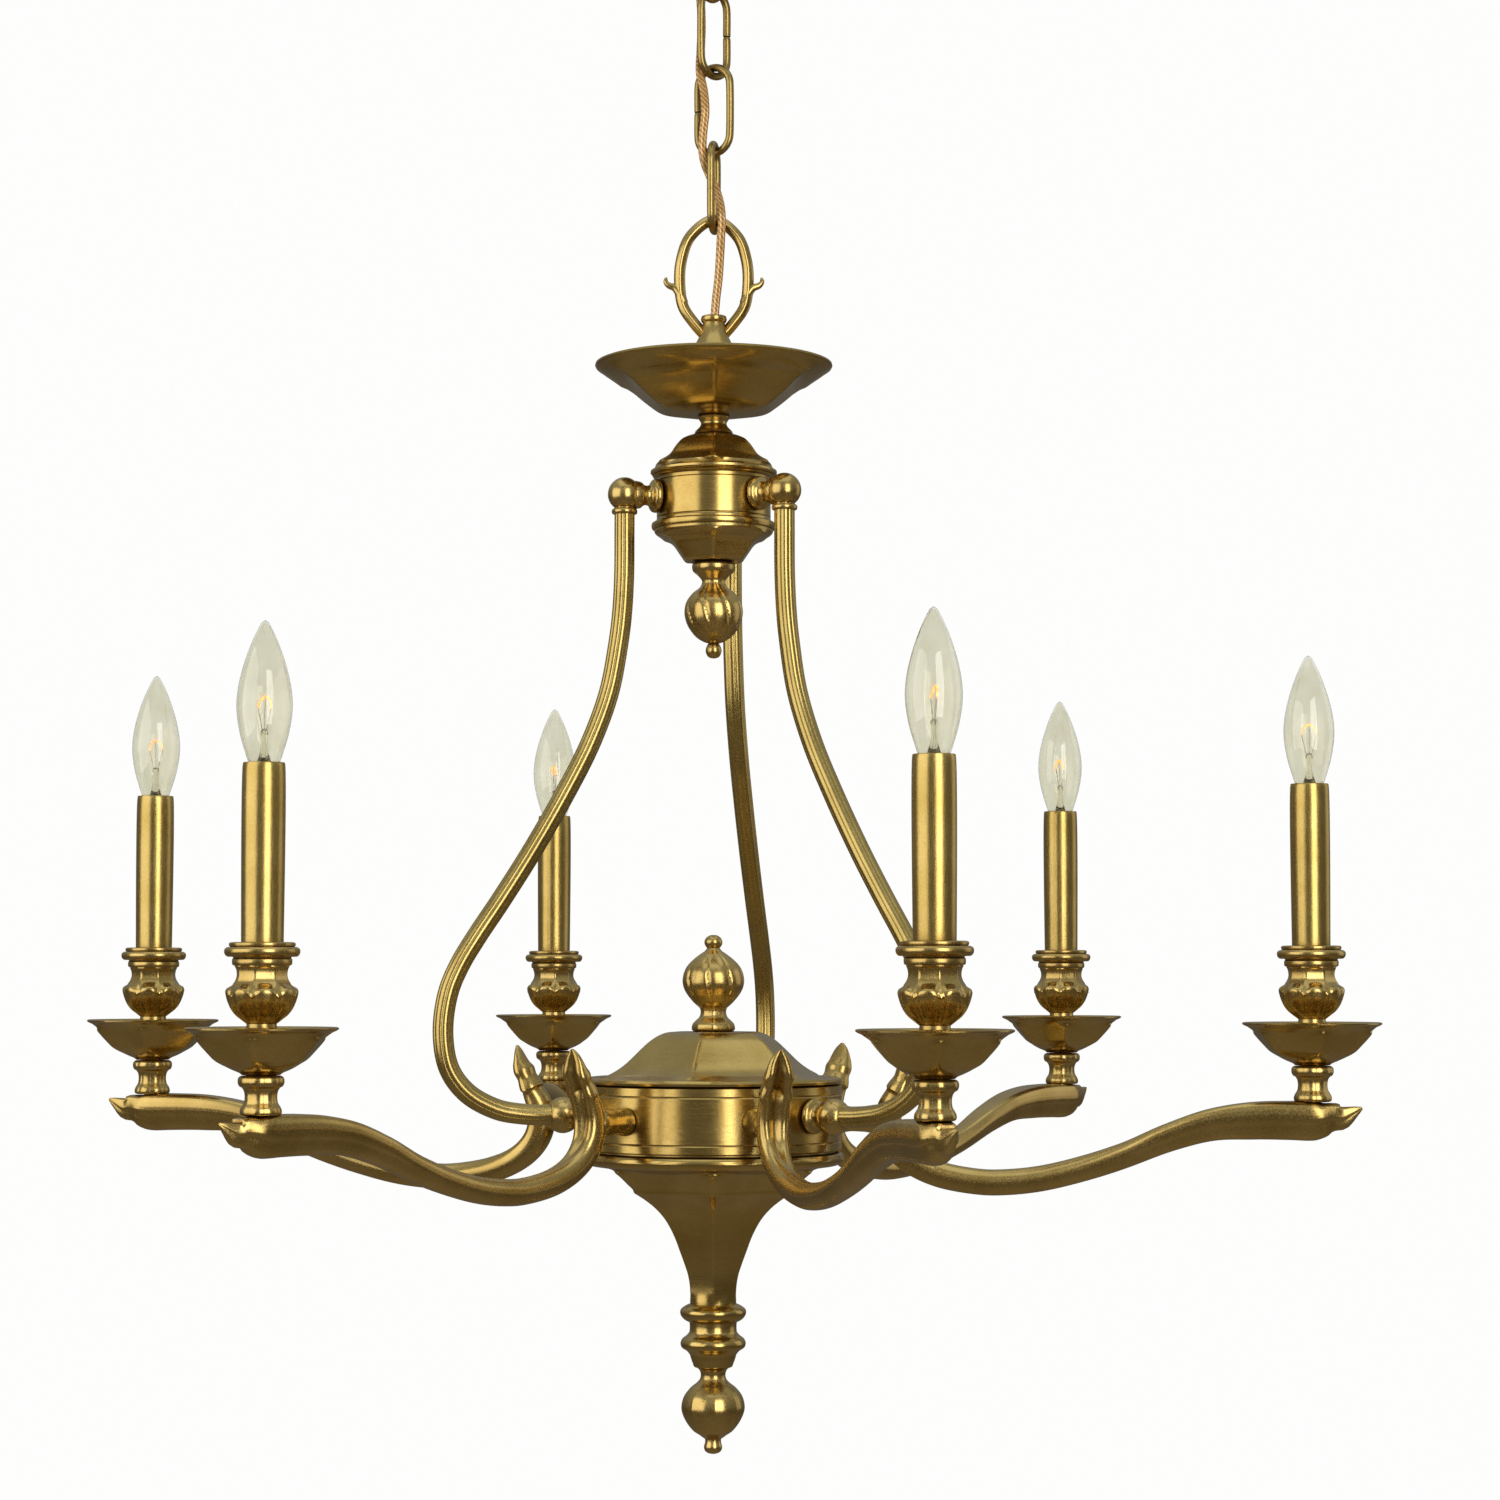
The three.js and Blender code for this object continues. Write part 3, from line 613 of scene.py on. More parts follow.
def top_dish():
    outline = [
        (6.2, 355.7, 1), (17, 355.7), (23.9, 356.6), (32.4, 358.7), (36.4, 360.6), (41.5, 364.4),
        (47.7, 369.6), (53.5, 374.7), (57.8, 377.3), (64.5, 379.8), (69.4, 382.4), (72.9, 384.9),
        (74.8, 386.2), (75.4, 387.3), (75.1, 388.4), (73.8, 388.9), (71.4, 387.6), (63, 382.6),
        (57, 379.4), (50, 374.6), (44, 369), (38, 364.2), (31, 361.2), (24, 359.2, 1), (6.2, 359, 1),
        (6.2, 355.7),
    ]
    flat = facets(FACET_TURN, lambda z: 1 - fade(375, 386)(z), crisp=90, proud=CORNERS)
    make("dish_spun", [lathe(outline, 192, flat, 1.0)], BRUSHED, "chandelier", ["top_dish"])
    stem = [
        (6.2, 343.3, 1), (11, 343.3), (12.2, 344.3), (11.7, 345.5), (10.1, 347.1), (8.6, 348.9),
        (8.2, 350.9), (9.4, 352.9), (10.2, 354.4), (9.8, 355.3, 1), (6.2, 355.4, 1), (6.2, 343.3),
    ]
    make("stem_turned", [lathe(stem, 64, step=0.7)], CAST, "chandelier", ["upper_stem"])


def upper_hub():
    cap = [
        (35, 317.6, 1), (39.2, 317.6), (40.1, 318.6), (40, 320, 1), (38, 320.8), (37.4, 322.1),
        (37.2, 323.6, 1), (32.8, 326), (29.9, 327.9), (27.9, 329.8), (26.6, 331.8), (24, 335.6),
        (22.4, 337.5), (20.4, 339.5), (16.9, 341.4), (12.7, 343, 1), (6.2, 343, 1), (6.2, 340, 1),
        (17, 338), (25, 330), (35, 320.4, 1), (35, 317.6),
    ]
    flat = facets(FACET_TURN, fade(322.4, 325), crisp=70, proud=CORNERS)
    make("upper_cap_fine", [lathe(cap, 144, flat, 0.8)], CAST, "chandelier", ["upper_cap"])
    drum = [
        (33, 283, 1), (39, 283), (39.4, 284), (39.2, 286.4), (38, 287.2, 1), (36.4, 287.6, 1),
        (36.1, 289.6, 1), (35.7, 290, 1), (36.1, 290.4, 1), (36.1, 312.6, 1), (35.7, 313, 1),
        (36.1, 313.4, 1), (36.2, 315.2, 1), (38.2, 315.8), (38.8, 316.6), (38.4, 317.3, 1),
        (33, 317.3, 1), (33, 283),
    ]
    make("upper_drum_fine", [lathe(drum, 160, step=1.0)], BRUSHED, "chandelier",
         ["upper_drum"])
    base = [
        (6.2, 262.6, 1), (17.8, 262.6), (19, 263.4), (20.8, 266), (23.4, 269.8), (26, 273.6),
        (28.2, 275.6), (32.8, 277.6), (36.6, 279.6), (37.6, 281.2), (37.4, 282.7, 1), (33, 282.7, 1),
        (23, 277), (6.2, 266.5, 1), (6.2, 262.6),
    ]
    flat = facets(FACET_TURN, lambda z: 1 - fade(277, 280.6)(z), crisp=70, proud=CORNERS)
    make("upper_base_fine", [lathe(base, 144, flat, 0.8)], CAST, "chandelier", ["upper_base"])
    drop = [
        (0, 200.8), (3.4, 201.8), (5.1, 205.4), (4.4, 208.6), (3.2, 210.4, 1), (6.4, 211.4),
        (11.6, 214.8), (16.4, 221.4), (18.5, 229.4), (17.4, 236.4), (13.2, 242.4), (9.6, 245.2),
        (8.1, 247), (7.4, 250), (9.2, 252.6), (11.2, 254.5, 1), (13.1, 256.2), (13.7, 258.3),
        (13.6, 260.4), (12, 261.8), (10, 262.3, 1), (4.8, 262.3, 1), (4.8, 398, 1), (0, 398),
    ]
    shape = lobes(8, 0.07, 210.4, 252, 0.016, 8, 0.6, 4)
    make("drop_finial", [lathe(drop, 144, shape, 0.9)], CAST, "chandelier", ["upper_finial"])


# ---------------------------------------------------------------- stays
STAY_LINE = [
    (STAY_DROP_R, 0, STAY_TOP), (STAY_DROP_R, 0, 280), (59.2, 0, 250), (60.6, 0, 226), (63.2, 0, 206),
    (69, 0, 177), (81, 0, 145), (97, 0, 114), (118, 0, 78), (138, 0, 47), (153, 0, 25), (164, 0, 7),
    (171, 0, -10), (174, 0, -34), (170, 0, -56), (158.5, 0, -71), (140, 0, -81), (124.5, 0, -84),
    (104, 0, -85),
]


STAY_R = 6.45
REED_DEPTH = 0.075  # of the stay's eight reeds, as a share of its radius


def stay(number):
    t = np.arange(96) * 2 * math.pi / 96
    r = STAY_R * (1 - REED_DEPTH * (1 - np.abs(np.cos(4 * t)) ** 0.8))
    tube = sweep(STAY_LINE, np.column_stack([r * np.cos(t), r * np.sin(t)]), side=(0, 1, 0), step=2.4)
    tag, turn = "_" + str(number + 1), STAY_TURN + number * 120
    nodes = ["stay" + tag]
    make("stay_tube" + tag, [tube], REEDED, "chandelier", nodes, turn, 60)
    ball = [(0, 292.2), (4.6, 293.2), (8, 295.8), (10.1, 299.6), (10.5, 302.8), (9.6, 307), (7, 310.6),
            (3.6, 312.8), (0, 313.4)]
    near = UPPER_DRUM_R + 0.5
    disc = [(0, near), (9.6, near), (10.7, near + 1.4), (10.4, near + 3.6), (9, near + 4.8, 1), (7, near + 6),
            (6.2, near + 8.4), (6.8, near + 10.6), (8.2, near + 12), (8.2, near + 20), (0, near + 20)]
    collar = [(6.2, 290), (7.6, 290.2), (8.1, 291.6), (7.6, 293.2), (6.2, 293.6)]
    elbow = [shifted(lathe(ball, 64, step=0.8), x=STAY_DROP_R),
             shifted(lathe(disc, 64, step=0.8), z=STAY_TOP, tilt=90),
             shifted(lathe(collar + [collar[0]], 48, step=0.6), x=STAY_DROP_R)]
    make("stay_elbow" + tag, elbow, CAST, "chandelier", nodes, turn)
    root = DRUM_R + JOINT_GAP
    foot = [(0, root), (9.4, root), (10.8, root + 1.2), (10.6, root + 3), (9, root + 4.2, 1), (7, root + 5.4),
            (6.6, root + 7.4), (8, root + 9.4), (10, root + 12), (11.1, root + 15.5), (11.2, root + 17.5),
            (10.6, root + 20.5), (8.8, root + 23.6), (6.6, root + 25.6), (0, root + 26)]
    make("stay_foot" + tag, [shifted(lathe(foot, 64, step=0.8), z=STAY_FOOT, tilt=90)], CAST, "chandelier",
         nodes, turn)


# ---------------------------------------------------------------- lower hub
def lower_hub():
    cap = [
        (76.5, -67.1, 1), (78.6, -67), (80.3, -66.2), (80.9, -64.8), (80.2, -63.3), (78.2, -62.5),
        (75.4, -62.8, 1), (71.6, -62.9), (67.4, -61.4), (61.4, -58.4), (55.4, -54.2), (50.6, -49.8),
        (46.3, -45.6), (41.2, -40.9), (36.6, -37.6), (32.1, -35.4), (28.2, -34.4), (20, -34.2, 1),
        (6.2, -34.2, 1), (6.2, -37.4, 1), (27, -37.6), (34, -40), (44, -48), (56, -58), (70, -65.4, 1),
        (76.5, -67.1),
    ]
    flat = facets(STAY_TURN, fade(-63.2, -60.4), crisp=90, proud=CAP_CORNERS)
    make("hub_cap_fine", [lathe(cap, 216, flat, 1.0)], BRUSHED, "chandelier", ["hub_cap"])
    drum = [(76.5, -107.6, 1), (79.6, -107.6), (80.4, -107, 1)]
    for level in (-102, -73):
        drum += [(80.5, level - 0.7, 1), (80.0, level, 1), (80.5, level + 0.7, 1)]
    drum += [(80.4, -67.8, 1), (79.8, -67.4, 1), (76.5, -67.3, 1), (76.5, -107.6)]
    make("hub_drum_fine", [lathe(drum, 256, step=2.5)], BRUSHED, "chandelier", ["hub_drum"],
         sharp=25)
    base = [
        (6.2, -242.6, 1), (11.8, -242.4), (12.6, -240.6), (13.6, -238), (14.5, -234.9, 1),
        (16.6, -232.4), (19.6, -230.4), (20.4, -228), (19.4, -225.2), (16.4, -222.8), (14.8, -220.8, 1),
        (14.6, -217.8), (14.8, -214.8, 1), (18.4, -212.8), (20.4, -210), (20.4, -207.2), (17.6, -204.8),
        (14.4, -203.4, 1), (14.6, -198), (15.1, -191), (16.2, -185), (17.8, -180), (21.4, -170.2),
        (25.3, -160.2), (30.8, -150.3), (37.3, -142.9), (43.5, -137.9), (47.8, -135), (50.4, -133.4, 1),
        (51.4, -131, 1), (54.5, -128), (59.6, -123), (63.4, -120.2), (69, -118.3, 1), (74, -117.7),
        (78.6, -116.8), (81.2, -114.8), (81.8, -112.6), (80.9, -110.2), (79, -109.1, 1),
        (77, -108.7, 1), (77, -107.9, 1), (72, -107.8, 1), (72, -112), (58, -118), (38, -134),
        (20, -162), (6.2, -190, 1), (6.2, -242.6),
    ]
    low, high = fade(-203, -196), fade(-121, -117.6)
    flat = facets(FACET_TURN, lambda z: low(z) - high(z), crisp=70, proud=CORNERS)
    make("hub_cone", [lathe(base, 216, flat, 0.9)], BRUSHED, "chandelier", ["hub_base"])
    bud = [
        (0, -14), (6.2, -14, 1), (6.2, -33.9, 1), (12.8, -33.9), (13.7, -33), (13.7, -30.8),
        (13, -29, 1), (11, -27), (9.1, -25.2), (8.2, -22.8), (8.2, -20.8), (8.7, -19.3, 1),
        (10.8, -17.6), (14.3, -13.8), (17.1, -10), (18.7, -6.6), (19.4, -3), (19.1, 0.4), (18.3, 3.4),
        (16.4, 7), (12.8, 10.8), (8.2, 14.4), (5.2, 16.5), (4, 18.2, 1), (5.3, 20), (5.7, 22),
        (4.6, 24.6), (2, 26.2), (0, 26.4),
    ]
    waist = facets(11, lambda z: 0.8 * (1 - fade(-19, -16)(z)), 8, 40)
    shape = both(waist, lobes(8, 0.065, -19, 17, 0.007, 14, 0.5, 4))
    make("bud_finial", [lathe(bud, 144, shape, 0.8)], CAST, "chandelier", ["hub_finial"])
    tip = [
        (0, -296.2), (3, -295.7), (5, -294.3), (5.7, -291.8), (5, -289), (5, -287, 1), (8.5, -284.5),
        (12.3, -281.9), (17, -275.6), (19.5, -268.4), (18.2, -261), (14.2, -255.4), (10, -252),
        (8, -249.4), (7.8, -246.4), (9, -243.8), (10.4, -242.9, 1), (6.2, -242.9, 1), (6.2, -262, 1),
        (0, -262),
    ]

    def ribbed(turn, z):
        t = min(max((z + 287) / 35, 0), 1)
        wave = np.abs(np.cos(turn * 4 + 0.5))
        return 1 + math.sin(math.pi * t) ** 0.6 * (0.035 * (1 - wave) ** 3 - 0.02 * (1 - wave))

    make("tip_finial", [lathe(tip, 144, ribbed, 0.8)], CAST, "chandelier", ["bottom_finial"])


# ---------------------------------------------------------------- arms
# Along the arm: (radius, level, half width, half depth, share of the prow's section, groove depth, arch)
ARM = [
    (127.2, -43.2, 1.2, 0.8, 0, 0.2, 0), (126.4, -46.4, 4.4, 2.4, 0, 1.6, -0.6),
    (125.4, -51, 6.8, 4.0, 0, 3.6, -0.6), (124.2, -56.4, 8.4, 6.2, 0, 6.2, 0),
    (122.8, -59.4, 9.2, 7.2, 0, 7.4, 0.4), (120.8, -63.6, 8.9, 6.6, 0, 7.2, 0.8),
    (119.2, -67, 9.8, 7.6, 0, 8.8, 1.6), (117.4, -70.8, 10.4, 8.3, 0, 10.4, 3.6),
    (116.8, -72, 9.6, 7.4, 0, 8.6, 4), (115.6, -74.6, 9.4, 7.8, 0, 6.4, 2.4),
    (113.6, -79, 9.5, 8.6, 0, 6, 0.6), (112, -84.4, 9.5, 9.2, 0, 6.4, 0),
    (111.6, -91, 9.4, 9.4, 0, 6, 0), (113.4, -99, 9.1, 9.2, 0, 5, 0),
    (118.4, -107, 8.8, 8.9, 0, 3.4, 0), (127, -114.4, 8.4, 8.5, 0, 1.6, 0),
    (143, -121.6, 8.1, 8.2, 0, 0.3, 0), (168, -126, 8, 8, 0, 0, 0), (184, -126, 8, 8, 0, 0, 0),
    (205, -123.6, 8, 7.9, 0, 0, 0), (230, -117.6, 8.2, 7.8, 0.12, 0, 0),
    (256, -109.2, 9, 7.8, 0.5, 0, 0), (284, -97.8, 10, 8.6, 0.9, 0, 0),
    (310, -89.9, 10.9, 9.8, 1, 0, 0), (336, -87.2, 11.6, 11.4, 1, 0, 0),
    (358, -86.9, 11.9, 11.8, 1, 0, 0), (370, -87, 12, 12, 1, 0, 0), (376, -86.2, 11.5, 10.9, 1, 0, 0),
    (380.6, -85, 9.6, 8.9, 1, 0, 0), (384.4, -84.6, 7.3, 8.4, 1, 0, 0), (388, -85, 5.7, 7.4, 1, 0, 0),
    (391.4, -83.6, 4.4, 5.8, 1, 0, 0), (394.8, -81.8, 3.1, 4, 1, 0, 0), (398, -80.2, 1.8, 2.3, 1, 0, 0),
    (400.4, -79, 0.5, 0.8, 1, 0, 0),
]
# Half of the prow's section, in half widths and half depths, from the top round to the keel.
PROW = [(0, 1), (0.42, 1), (0.74, 0.97), (0.9, 0.84), (0.98, 0.6), (1, 0.34), (0.97, 0.08), (0.9, -0.1),
        (0.82, -0.16), (0.76, -0.3), (0.7, -0.5), (0.6, -0.74), (0.44, -0.9), (0.22, -0.98), (0, -1)]
VALLEY_WIDTH = 0.4  # of the leaf's groove, in half widths


def arm(number):
    """An arm's casting: leaf, bend and prow in one sweep, and its nipple into the drum."""
    half = len(PROW) - 1
    places = np.linspace(0, half, 3 * half + 1)
    angle = places * math.pi / half
    fine = np.column_stack([np.sin(angle), np.cos(angle)])
    knots = np.arange(half + 1)
    line = np.array(PROW, float)
    prow = np.column_stack([np.interp(places, knots, line[:, i]) for i in (0, 1)])
    table = np.array(ARM, float)
    spine = smooth_line([(r, 0, z) for r, z in table[:, :2]], 1.4)
    run = np.concatenate([[0], np.cumsum(np.linalg.norm(np.diff(spine, axis=0), axis=1))])
    stations = [run[np.argmin(np.abs(spine[:, 0] - r) + np.abs(spine[:, 2] - z))] for r, z in table[:, :2]]
    values = smooth_values(stations, table[:, 2:], run)

    def section(share, i):
        width, depth, blunt, groove, arch = values[i]
        shape = fine * (1 - blunt) + prow * blunt
        shape = np.vstack([shape, shape[-2:0:-1] * (-1, 1)])
        u, v = shape[:, 0], shape[:, 1]
        front = np.clip(v, 0, 1)
        box = 1 + 0.16 * min(groove / 5, 1) * np.abs(u) * front
        valley = groove * np.exp(-((np.abs(u) / VALLEY_WIDTH) ** 1.7)) * front**0.5
        slip = -arch * (1 - u**2) * front
        return np.column_stack([width * u * box, depth * v - valley, slip])

    tube = sweep([tuple(p) for p in spine], section, side=(0, 1, 0), step=50)
    root = DRUM_R + JOINT_GAP
    nipple = [(0, root), (8.6, root), (8.5, root + 1.6), (7.7, root + 6), (7.9, root + 14), (8.4, 108),
              (0, 108)]
    tag = "_" + str(number + 1)
    make("arm_casting" + tag, [tube, shifted(lathe(nipple, 56, step=1.5), z=ARM_ROOT, tilt=90)], CAST,
         "chandelier", ["arm" + tag], number * 60, 34)


def smooth_values(stations, table, places):
    """The table's columns carried smoothly along the way, without overshoot."""
    s, y = np.array(stations, float), np.array(table, float)
    h = np.diff(s)[:, None]
    d = np.diff(y, axis=0) / h
    m = np.zeros_like(y)
    same = (d[:-1] * d[1:]) > 0
    with np.errstate(divide="ignore", invalid="ignore"):
        harmonic = 2 * d[:-1] * d[1:] / (d[:-1] + d[1:])
    m[1:-1] = np.where(same, harmonic, 0)
    m[0], m[-1] = d[0], d[-1]
    out = []
    for x in places:
        i = min(max(int(np.searchsorted(s, x)) - 1, 0), len(h) - 1)
        t = min(max((x - s[i]) / h[i, 0], 0), 1)
        out.append((1 + 2 * t) * (1 - t) ** 2 * y[i] + t * t * (3 - 2 * t) * y[i + 1]
                   + h[i] * (t * (1 - t) ** 2 * m[i] + t * t * (t - 1) * m[i + 1]))
    return np.array(out)


# ---------------------------------------------------------------- candles
def cup_lobe(turn):
    """Across one of the cup's lobes: 0 in its middle, 0.5 at its edges."""
    return np.abs((turn * CUP_LOBES / (2 * math.pi) + CUP_TURN) % 1 - 0.5)


def cup_shape(turn, z):
    """Radius factor of the cup: grooves between the bowl's lobes, and flats round its waist."""
    u = cup_lobe(turn)
    bowl = fade(-25.5, -20)(z) * (1 - fade(-7.4, -4.6)(z))
    groove = np.where(u < 0.4, 0.06 * (u / 0.4) ** 3, 0.06 - 0.03 * (1 - ((0.5 - u) / 0.1) ** 2))
    waist = fade(-6.4, -3.6)(z) * (1 - fade(4.6, 6.6)(z))
    flat = facets(math.degrees(-CUP_TURN * math.pi / 4), count=CUP_LOBES)(turn, z)
    return (1 - bowl * groove) * (1 + (flat - 1) * 1.1 * waist)


def cup_rise(turn, z):
    """Lift of the cup's rim: the lobes' tops are arched."""
    u = cup_lobe(turn)
    return -3.2 * (u / 0.5) ** 2 * fade(-12, -7.4)(z) * (1 - fade(-6.6, -3.4)(z))


def candle(number):
    turn, tag = number * 60, "_" + str(number + 1)
    at = lambda part: shifted(part, x=CANDLE_R)
    pan = [
        (0, -53.4), (10.4, -53.4, 1), (11.6, -52.4), (15.8, -50.6), (20.4, -48.5), (23.5, -46.7),
        (26.1, -44.9), (29.7, -41.2), (33, -37.6), (35.6, -34.4), (36.9, -32.2), (38.7, -30.3),
        (40.8, -29.4), (42, -28.6), (42.1, -27.9), (41.2, -27.4), (39.2, -27.9), (37, -29.6),
        (35, -31.8), (31.4, -37), (29, -39.9), (26, -42.9), (22, -45.8), (17, -48.1), (12.6, -48.8),
        (9.4, -48.9, 1), (0, -48.9),
    ]
    flat_part = lambda z: fade(-51.6, -46)(z) * (1 - fade(-35, -30.2)(z))
    bowl = facets(FACET_TURN, flat_part, crisp=90, proud=PAN_CORNERS)
    make("pan_spun" + tag, [at(lathe(pan, 150, bowl, 0.9))], BRUSHED, "chandelier",
         ["drip_pan" + tag], turn)
    pedestal = [
        (0, -75.4), (10, -75.4), (11.3, -74.6), (11.4, -72.4), (10.6, -70.6), (9.4, -68.6),
        (8.9, -65.4), (9.4, -62), (10.6, -60.2, 1), (12, -59.4), (12.8, -57.2), (12.4, -54.8),
        (11, -53.8, 1), (0, -53.8),
    ]
    knobs = lambda t, z: 1 - 0.045 * (1 - np.abs(np.cos(4 * t + 0.4)))
    make("pedestal" + tag, [at(lathe(pedestal, 112, knobs, 0.7))], CAST, "chandelier",
         ["drip_pan" + tag], turn)
    cup = [
        (0, -48.3), (7.4, -48.3), (8, -47), (8, -31, 1), (9.2, -30.4), (8.2, -29, 1), (9.4, -28.2),
        (8.4, -27.6, 1), (8.2, -25.6, 1), (11.6, -23), (14, -21.1), (15.6, -19.3), (17, -17.2),
        (18.6, -13.6), (19.5, -10.6), (19.9, -7.6), (19.4, -6.4, 1), (17.6, -4.8), (15.6, -2.4),
        (14.5, 0.6), (14.7, 3.6), (15.4, 5.6, 1), (15.1, 6.2), (16.1, 6.6), (16.3, 9.8),
        (15.7, 10.4, 1), (16, 10.9), (19.2, 11.2), (20.6, 13), (20.4, 15.4), (18.6, 16.4, 1),
        (17.5, 16.5, 1), (18, 16.9), (18.1, 18.4), (17.4, 18.9), (13.4, 18.9, 1), (13, 17.2, 1),
        (13, 8.4, 1), (0, 8.4),
    ]
    make("cup_casting" + tag, [at(lathe(cup, 176, cup_shape, 0.7, cup_rise))], CAST, "chandelier",
         ["candle_cup" + tag], turn)
    inner = COVER_R - COVER_WALL
    cover = [(inner, 9, 1), (COVER_R, 9, 1), (COVER_R, 117.1), (COVER_R - 0.2, 117.5, 1), (inner, 117.5, 1),
             (inner, 9)]
    make("cover_tube" + tag, [at(lathe(cover, 80, step=9))], COVER, "chandelier",
         ["candle_cover" + tag], turn)
    lamp(tag, turn, at)


def lamp(tag, turn, at):
    """The lamp: glass envelope, screw base, stem, lead wires and filament."""
    body, nodes = "bulb" + tag, ["bulb" + tag]
    outer = [(6.2, 113), (7.4, 115), (8.9, 118.4), (10.6, 123.6), (12.9, 131.4), (14.7, 140.6), (15.35, 149),
             (14.9, 156), (13.6, 163.6), (11, 173.4), (7.6, 183), (4.2, 190.6), (1.8, 194.8), (0, 196)]
    wall = 0.55
    inner = [(max(r - wall, 0.3), z - 0.1 - 0.5 * fade(180, 194)(z)) for r, z in outer[-2::-1]]
    shell = outer[:-1] + [(0, 196, 1), (0, 195.2, 1)] + inner + [outer[0]]
    make("glass" + tag, [at(lathe(shell, 72, step=1.6))], GLASS, body, nodes, turn, 80)
    thread = [(0, 90), (2.2, 90), (2.6, 91.6), (5.2, 93, 1)]
    for i in range(8):
        thread += [(5.5, 94 + i * 2), (6, 95 + i * 2)]
    thread += [(6.1, 112), (6.4, 113.4), (5.6, 114.2), (0, 114.2)]
    make("screw_base" + tag, [at(lathe(thread, 48, step=0.8))], NICKEL, body, nodes, turn)
    stem = [(0, 114.4), (5.2, 114.4), (4, 118), (2.4, 123), (1.9, 130), (2.1, 134.6), (1.4, 136), (0, 136.2)]
    make("glass_stem" + tag, [at(lathe(stem, 36, step=1.2))], GLASS, body, nodes, turn, 80)
    wires = []
    for side in (-1, 1):
        lead = [(side * 1.2, 0, 133), (side * 2.2, 0, 138), (side * 4.6, 0, 147.6)]
        wires.append(sweep(lead, oval(0.28, count=8), side=(0, 1, 0)))
    wires.append(sweep([(0, 0, 135), (0.4, 0.6, 145), (0, 1.2, 153.6)], oval(0.22, count=8), side=(0, 1, 0)))
    make("lead_wires" + tag, [at(w) for w in wires], NICKEL, body, nodes, turn, 60)
    arch = [(-4.6, 0, 147.6), (-3.4, 0.8, 151.4), (0, 1.2, 153.6), (3.4, 0.8, 151.4), (4.6, 0, 147.6)]
    coil_r, coil_turn = 0.55, 0.9
    coil = [(p[0], p[1] + coil_r * math.cos(i * coil_turn), p[2] + coil_r * math.sin(i * coil_turn))
            for i, p in enumerate(smooth_line(arch, 0.12))]
    wire = sweep(coil, oval(0.2, count=6), step=2)
    make("filament" + tag, [at(wire)], GLOW, body, nodes, turn, 80)


ceiling_fittings()
for link in range(3):
    chain_link(link)
top_loop()
top_dish()
upper_hub()
for count in range(STAYS):
    stay(count)
lower_hub()
for count in range(ARMS):
    arm(count)
    candle(count)

# ---------------------------------------------------------------- CAD nodes that stay
for name, look in (("socket_", CERAMIC), ("ceiling_strap", STEEL), ("hub_rod", STEEL)):
    for node in [o for o in bpy.data.objects if o.name.startswith(name) and o.type == "MESH"]:
        node.data.materials.clear()
        node.data.materials.append(look)


# ---------------------------------------------------------------- floor and light
def floor():
    """A plain pale floor, well below the chandelier."""
    mesh = bpy.data.meshes.new("floor")
    size, level = 2.6, -1.5
    mesh.from_pydata([(-size, -size, level), (size, -size, level), (size, size, level), (-size, size, level)],
                     [], [(0, 1, 2, 3)])
    material, tree, shader = nodes_of("pale_floor")
    place = add(tree, "ShaderNodeTexCoord").outputs["Object"]
    noise = add(tree, "ShaderNodeTexNoise", {"Vector": place, "Scale": 3.0, "Detail": 4.0}).outputs["Fac"]
    color = ramp(tree, noise, [(0.3, (0.78, 0.78, 0.77)), (0.7, (0.82, 0.82, 0.81))])
    tree.links.new(color, shader.inputs["Base Color"])
    shader.inputs["Roughness"].default_value = 0.9
    mesh.materials.append(material)
    plane = bpy.data.objects.new("floor", mesh)
    bpy.context.scene.collection.objects.link(plane)
    plane.visible_glossy = False


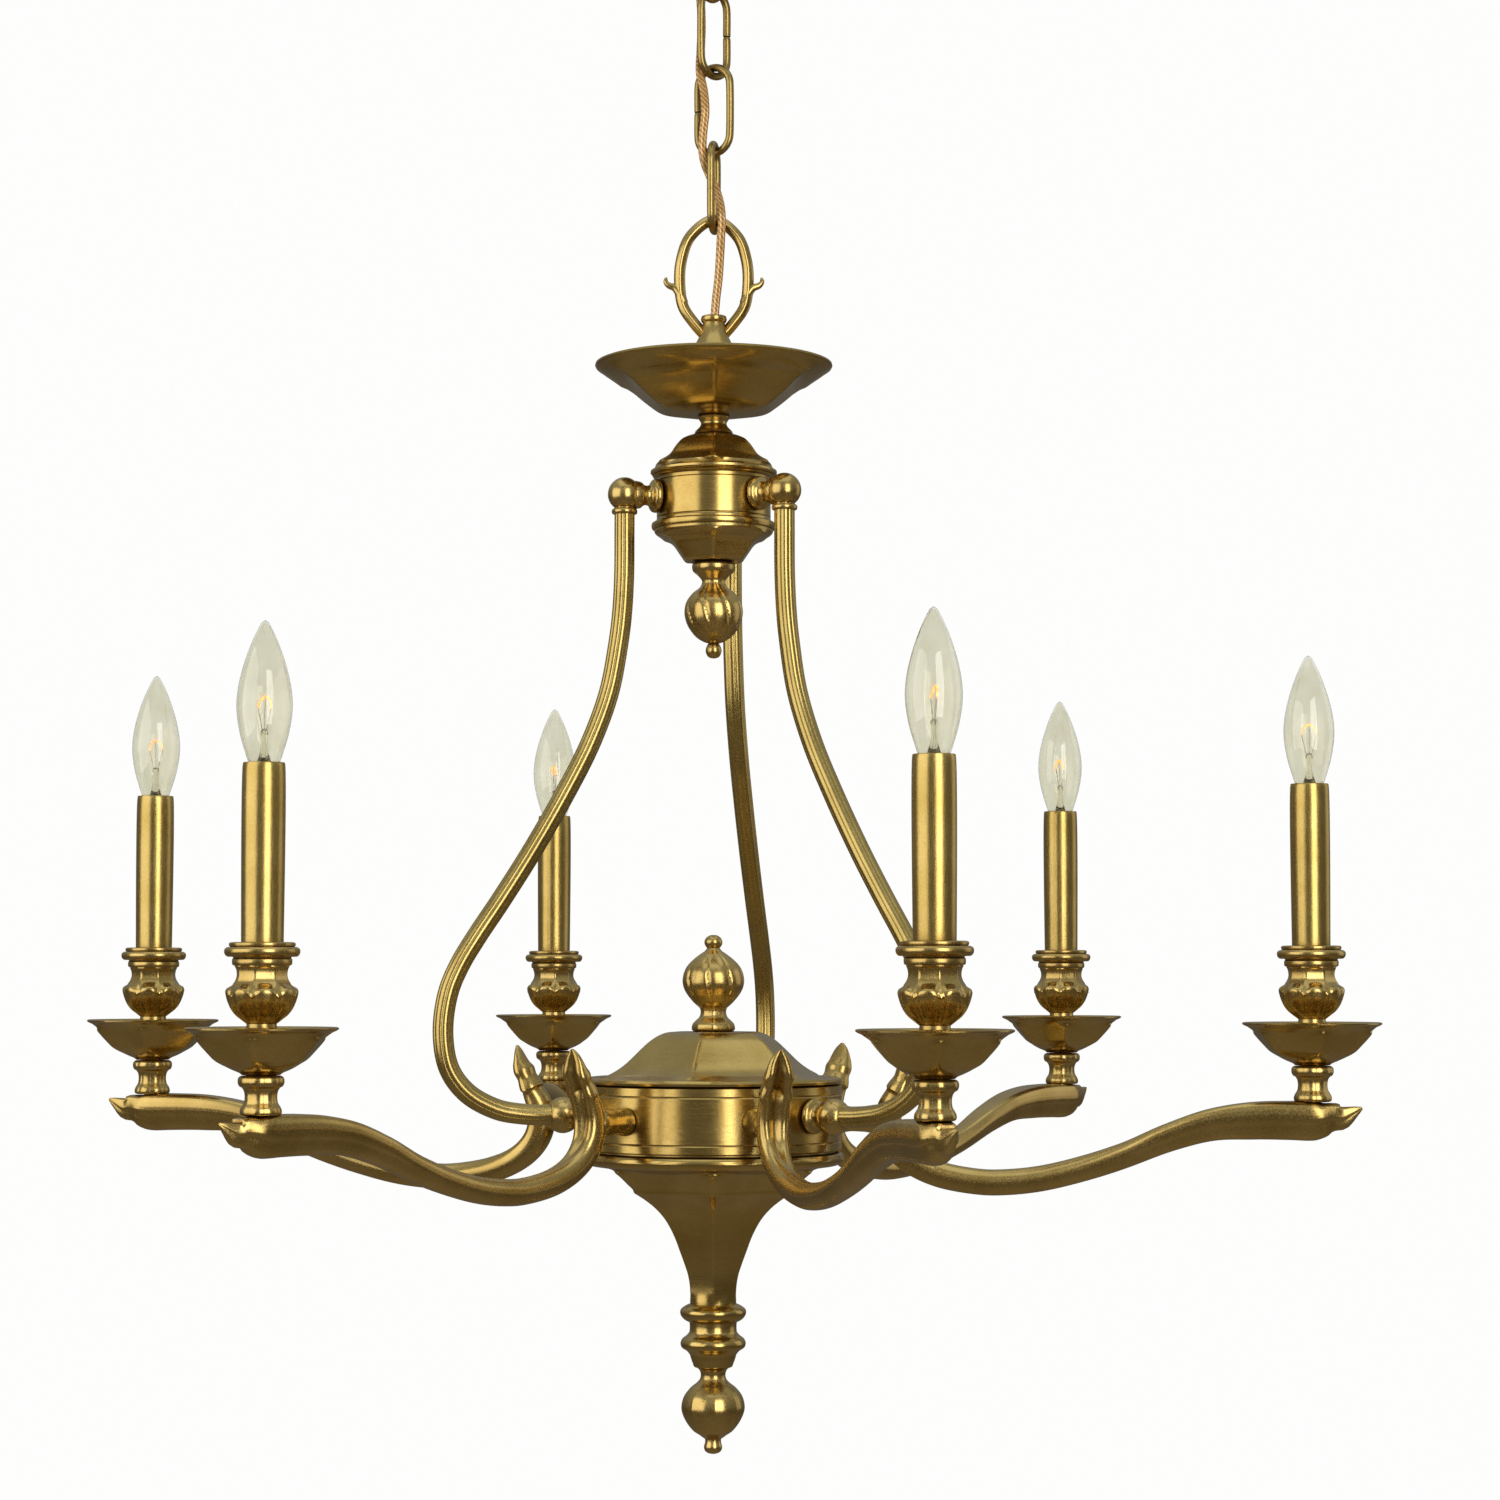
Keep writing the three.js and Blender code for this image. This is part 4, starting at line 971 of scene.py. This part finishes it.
def softbox(name, azimuth, height, away, width, tall, power, color):
    """A soft light seen from the chandelier at an angle from the camera's direction, to its right."""
    turn = math.radians(azimuth)
    direction = -AWAY * math.cos(turn) + RIGHT * math.sin(turn)
    data = bpy.data.lights.new(name, "AREA")
    data.shape = "RECTANGLE"
    data.size, data.size_y = width, tall
    data.energy = power
    data.color = color
    lamp_object = bpy.data.objects.new(name, data)
    lamp_object.location = direction * away + Vector((0, 0, DATUM + height))
    aim = Vector((0, 0, DATUM)) - lamp_object.location
    lamp_object.rotation_euler = aim.to_track_quat("-Z", "Y").to_euler()
    lamp_object.visible_camera = False
    bpy.context.scene.collection.objects.link(lamp_object)


def world():
    """A dim room for reflections, and near white where the camera looks past the chandelier."""
    sky = bpy.data.worlds.new("studio")
    bpy.context.scene.world = sky
    sky.use_nodes = True
    tree = sky.node_tree
    tree.nodes.clear()
    way = add(tree, "ShaderNodeTexCoord").outputs["Generated"]
    up = add(tree, "ShaderNodeSeparateXYZ", {0: way}).outputs["Z"]
    rise = add(tree, "ShaderNodeMapRange", {"Value": up, "From Min": -1.0, "From Max": 1.0}).outputs[0]
    levels = [(0.0, (0.22, 0.19, 0.15)), (0.42, (0.1, 0.088, 0.07)), (0.56, (0.19, 0.19, 0.18)),
              (1.0, (0.5, 0.54, 0.56))]
    dim = ramp(tree, rise, levels)
    room = add(tree, "ShaderNodeBackground", {"Color": dim, "Strength": 1.0}).outputs[0]
    white = add(tree, "ShaderNodeBackground", {"Color": (0.985, 0.99, 0.98, 1), "Strength": 1.0}).outputs[0]
    path = add(tree, "ShaderNodeLightPath")
    rays = {0: path.outputs["Is Camera Ray"], 1: path.outputs["Is Transmission Ray"]}
    seen = add(tree, "ShaderNodeMath", rays, operation="MAXIMUM").outputs[0]
    both_ways = add(tree, "ShaderNodeMixShader", {0: seen, 1: room, 2: white}).outputs[0]
    add(tree, "ShaderNodeOutputWorld", {"Surface": both_ways})


floor()
softbox("left_softbox", -60, 0.5, 2.4, 2.7, 2.2, 29, (1.0, 0.985, 0.93))
softbox("right_softbox", 22, 0.5, 2.5, 1.2, 2.2, 31, (1.0, 0.985, 0.93))
softbox("far_right_softbox", 108, 0.4, 2.6, 1.4, 2.0, 4.5, (1.0, 0.98, 0.94))
softbox("overhead", 0, 2.2, 0.3, 2.2, 2.2, 8, (0.86, 0.94, 1.0))
world()
bpy.context.scene.view_settings.view_transform = "Standard"
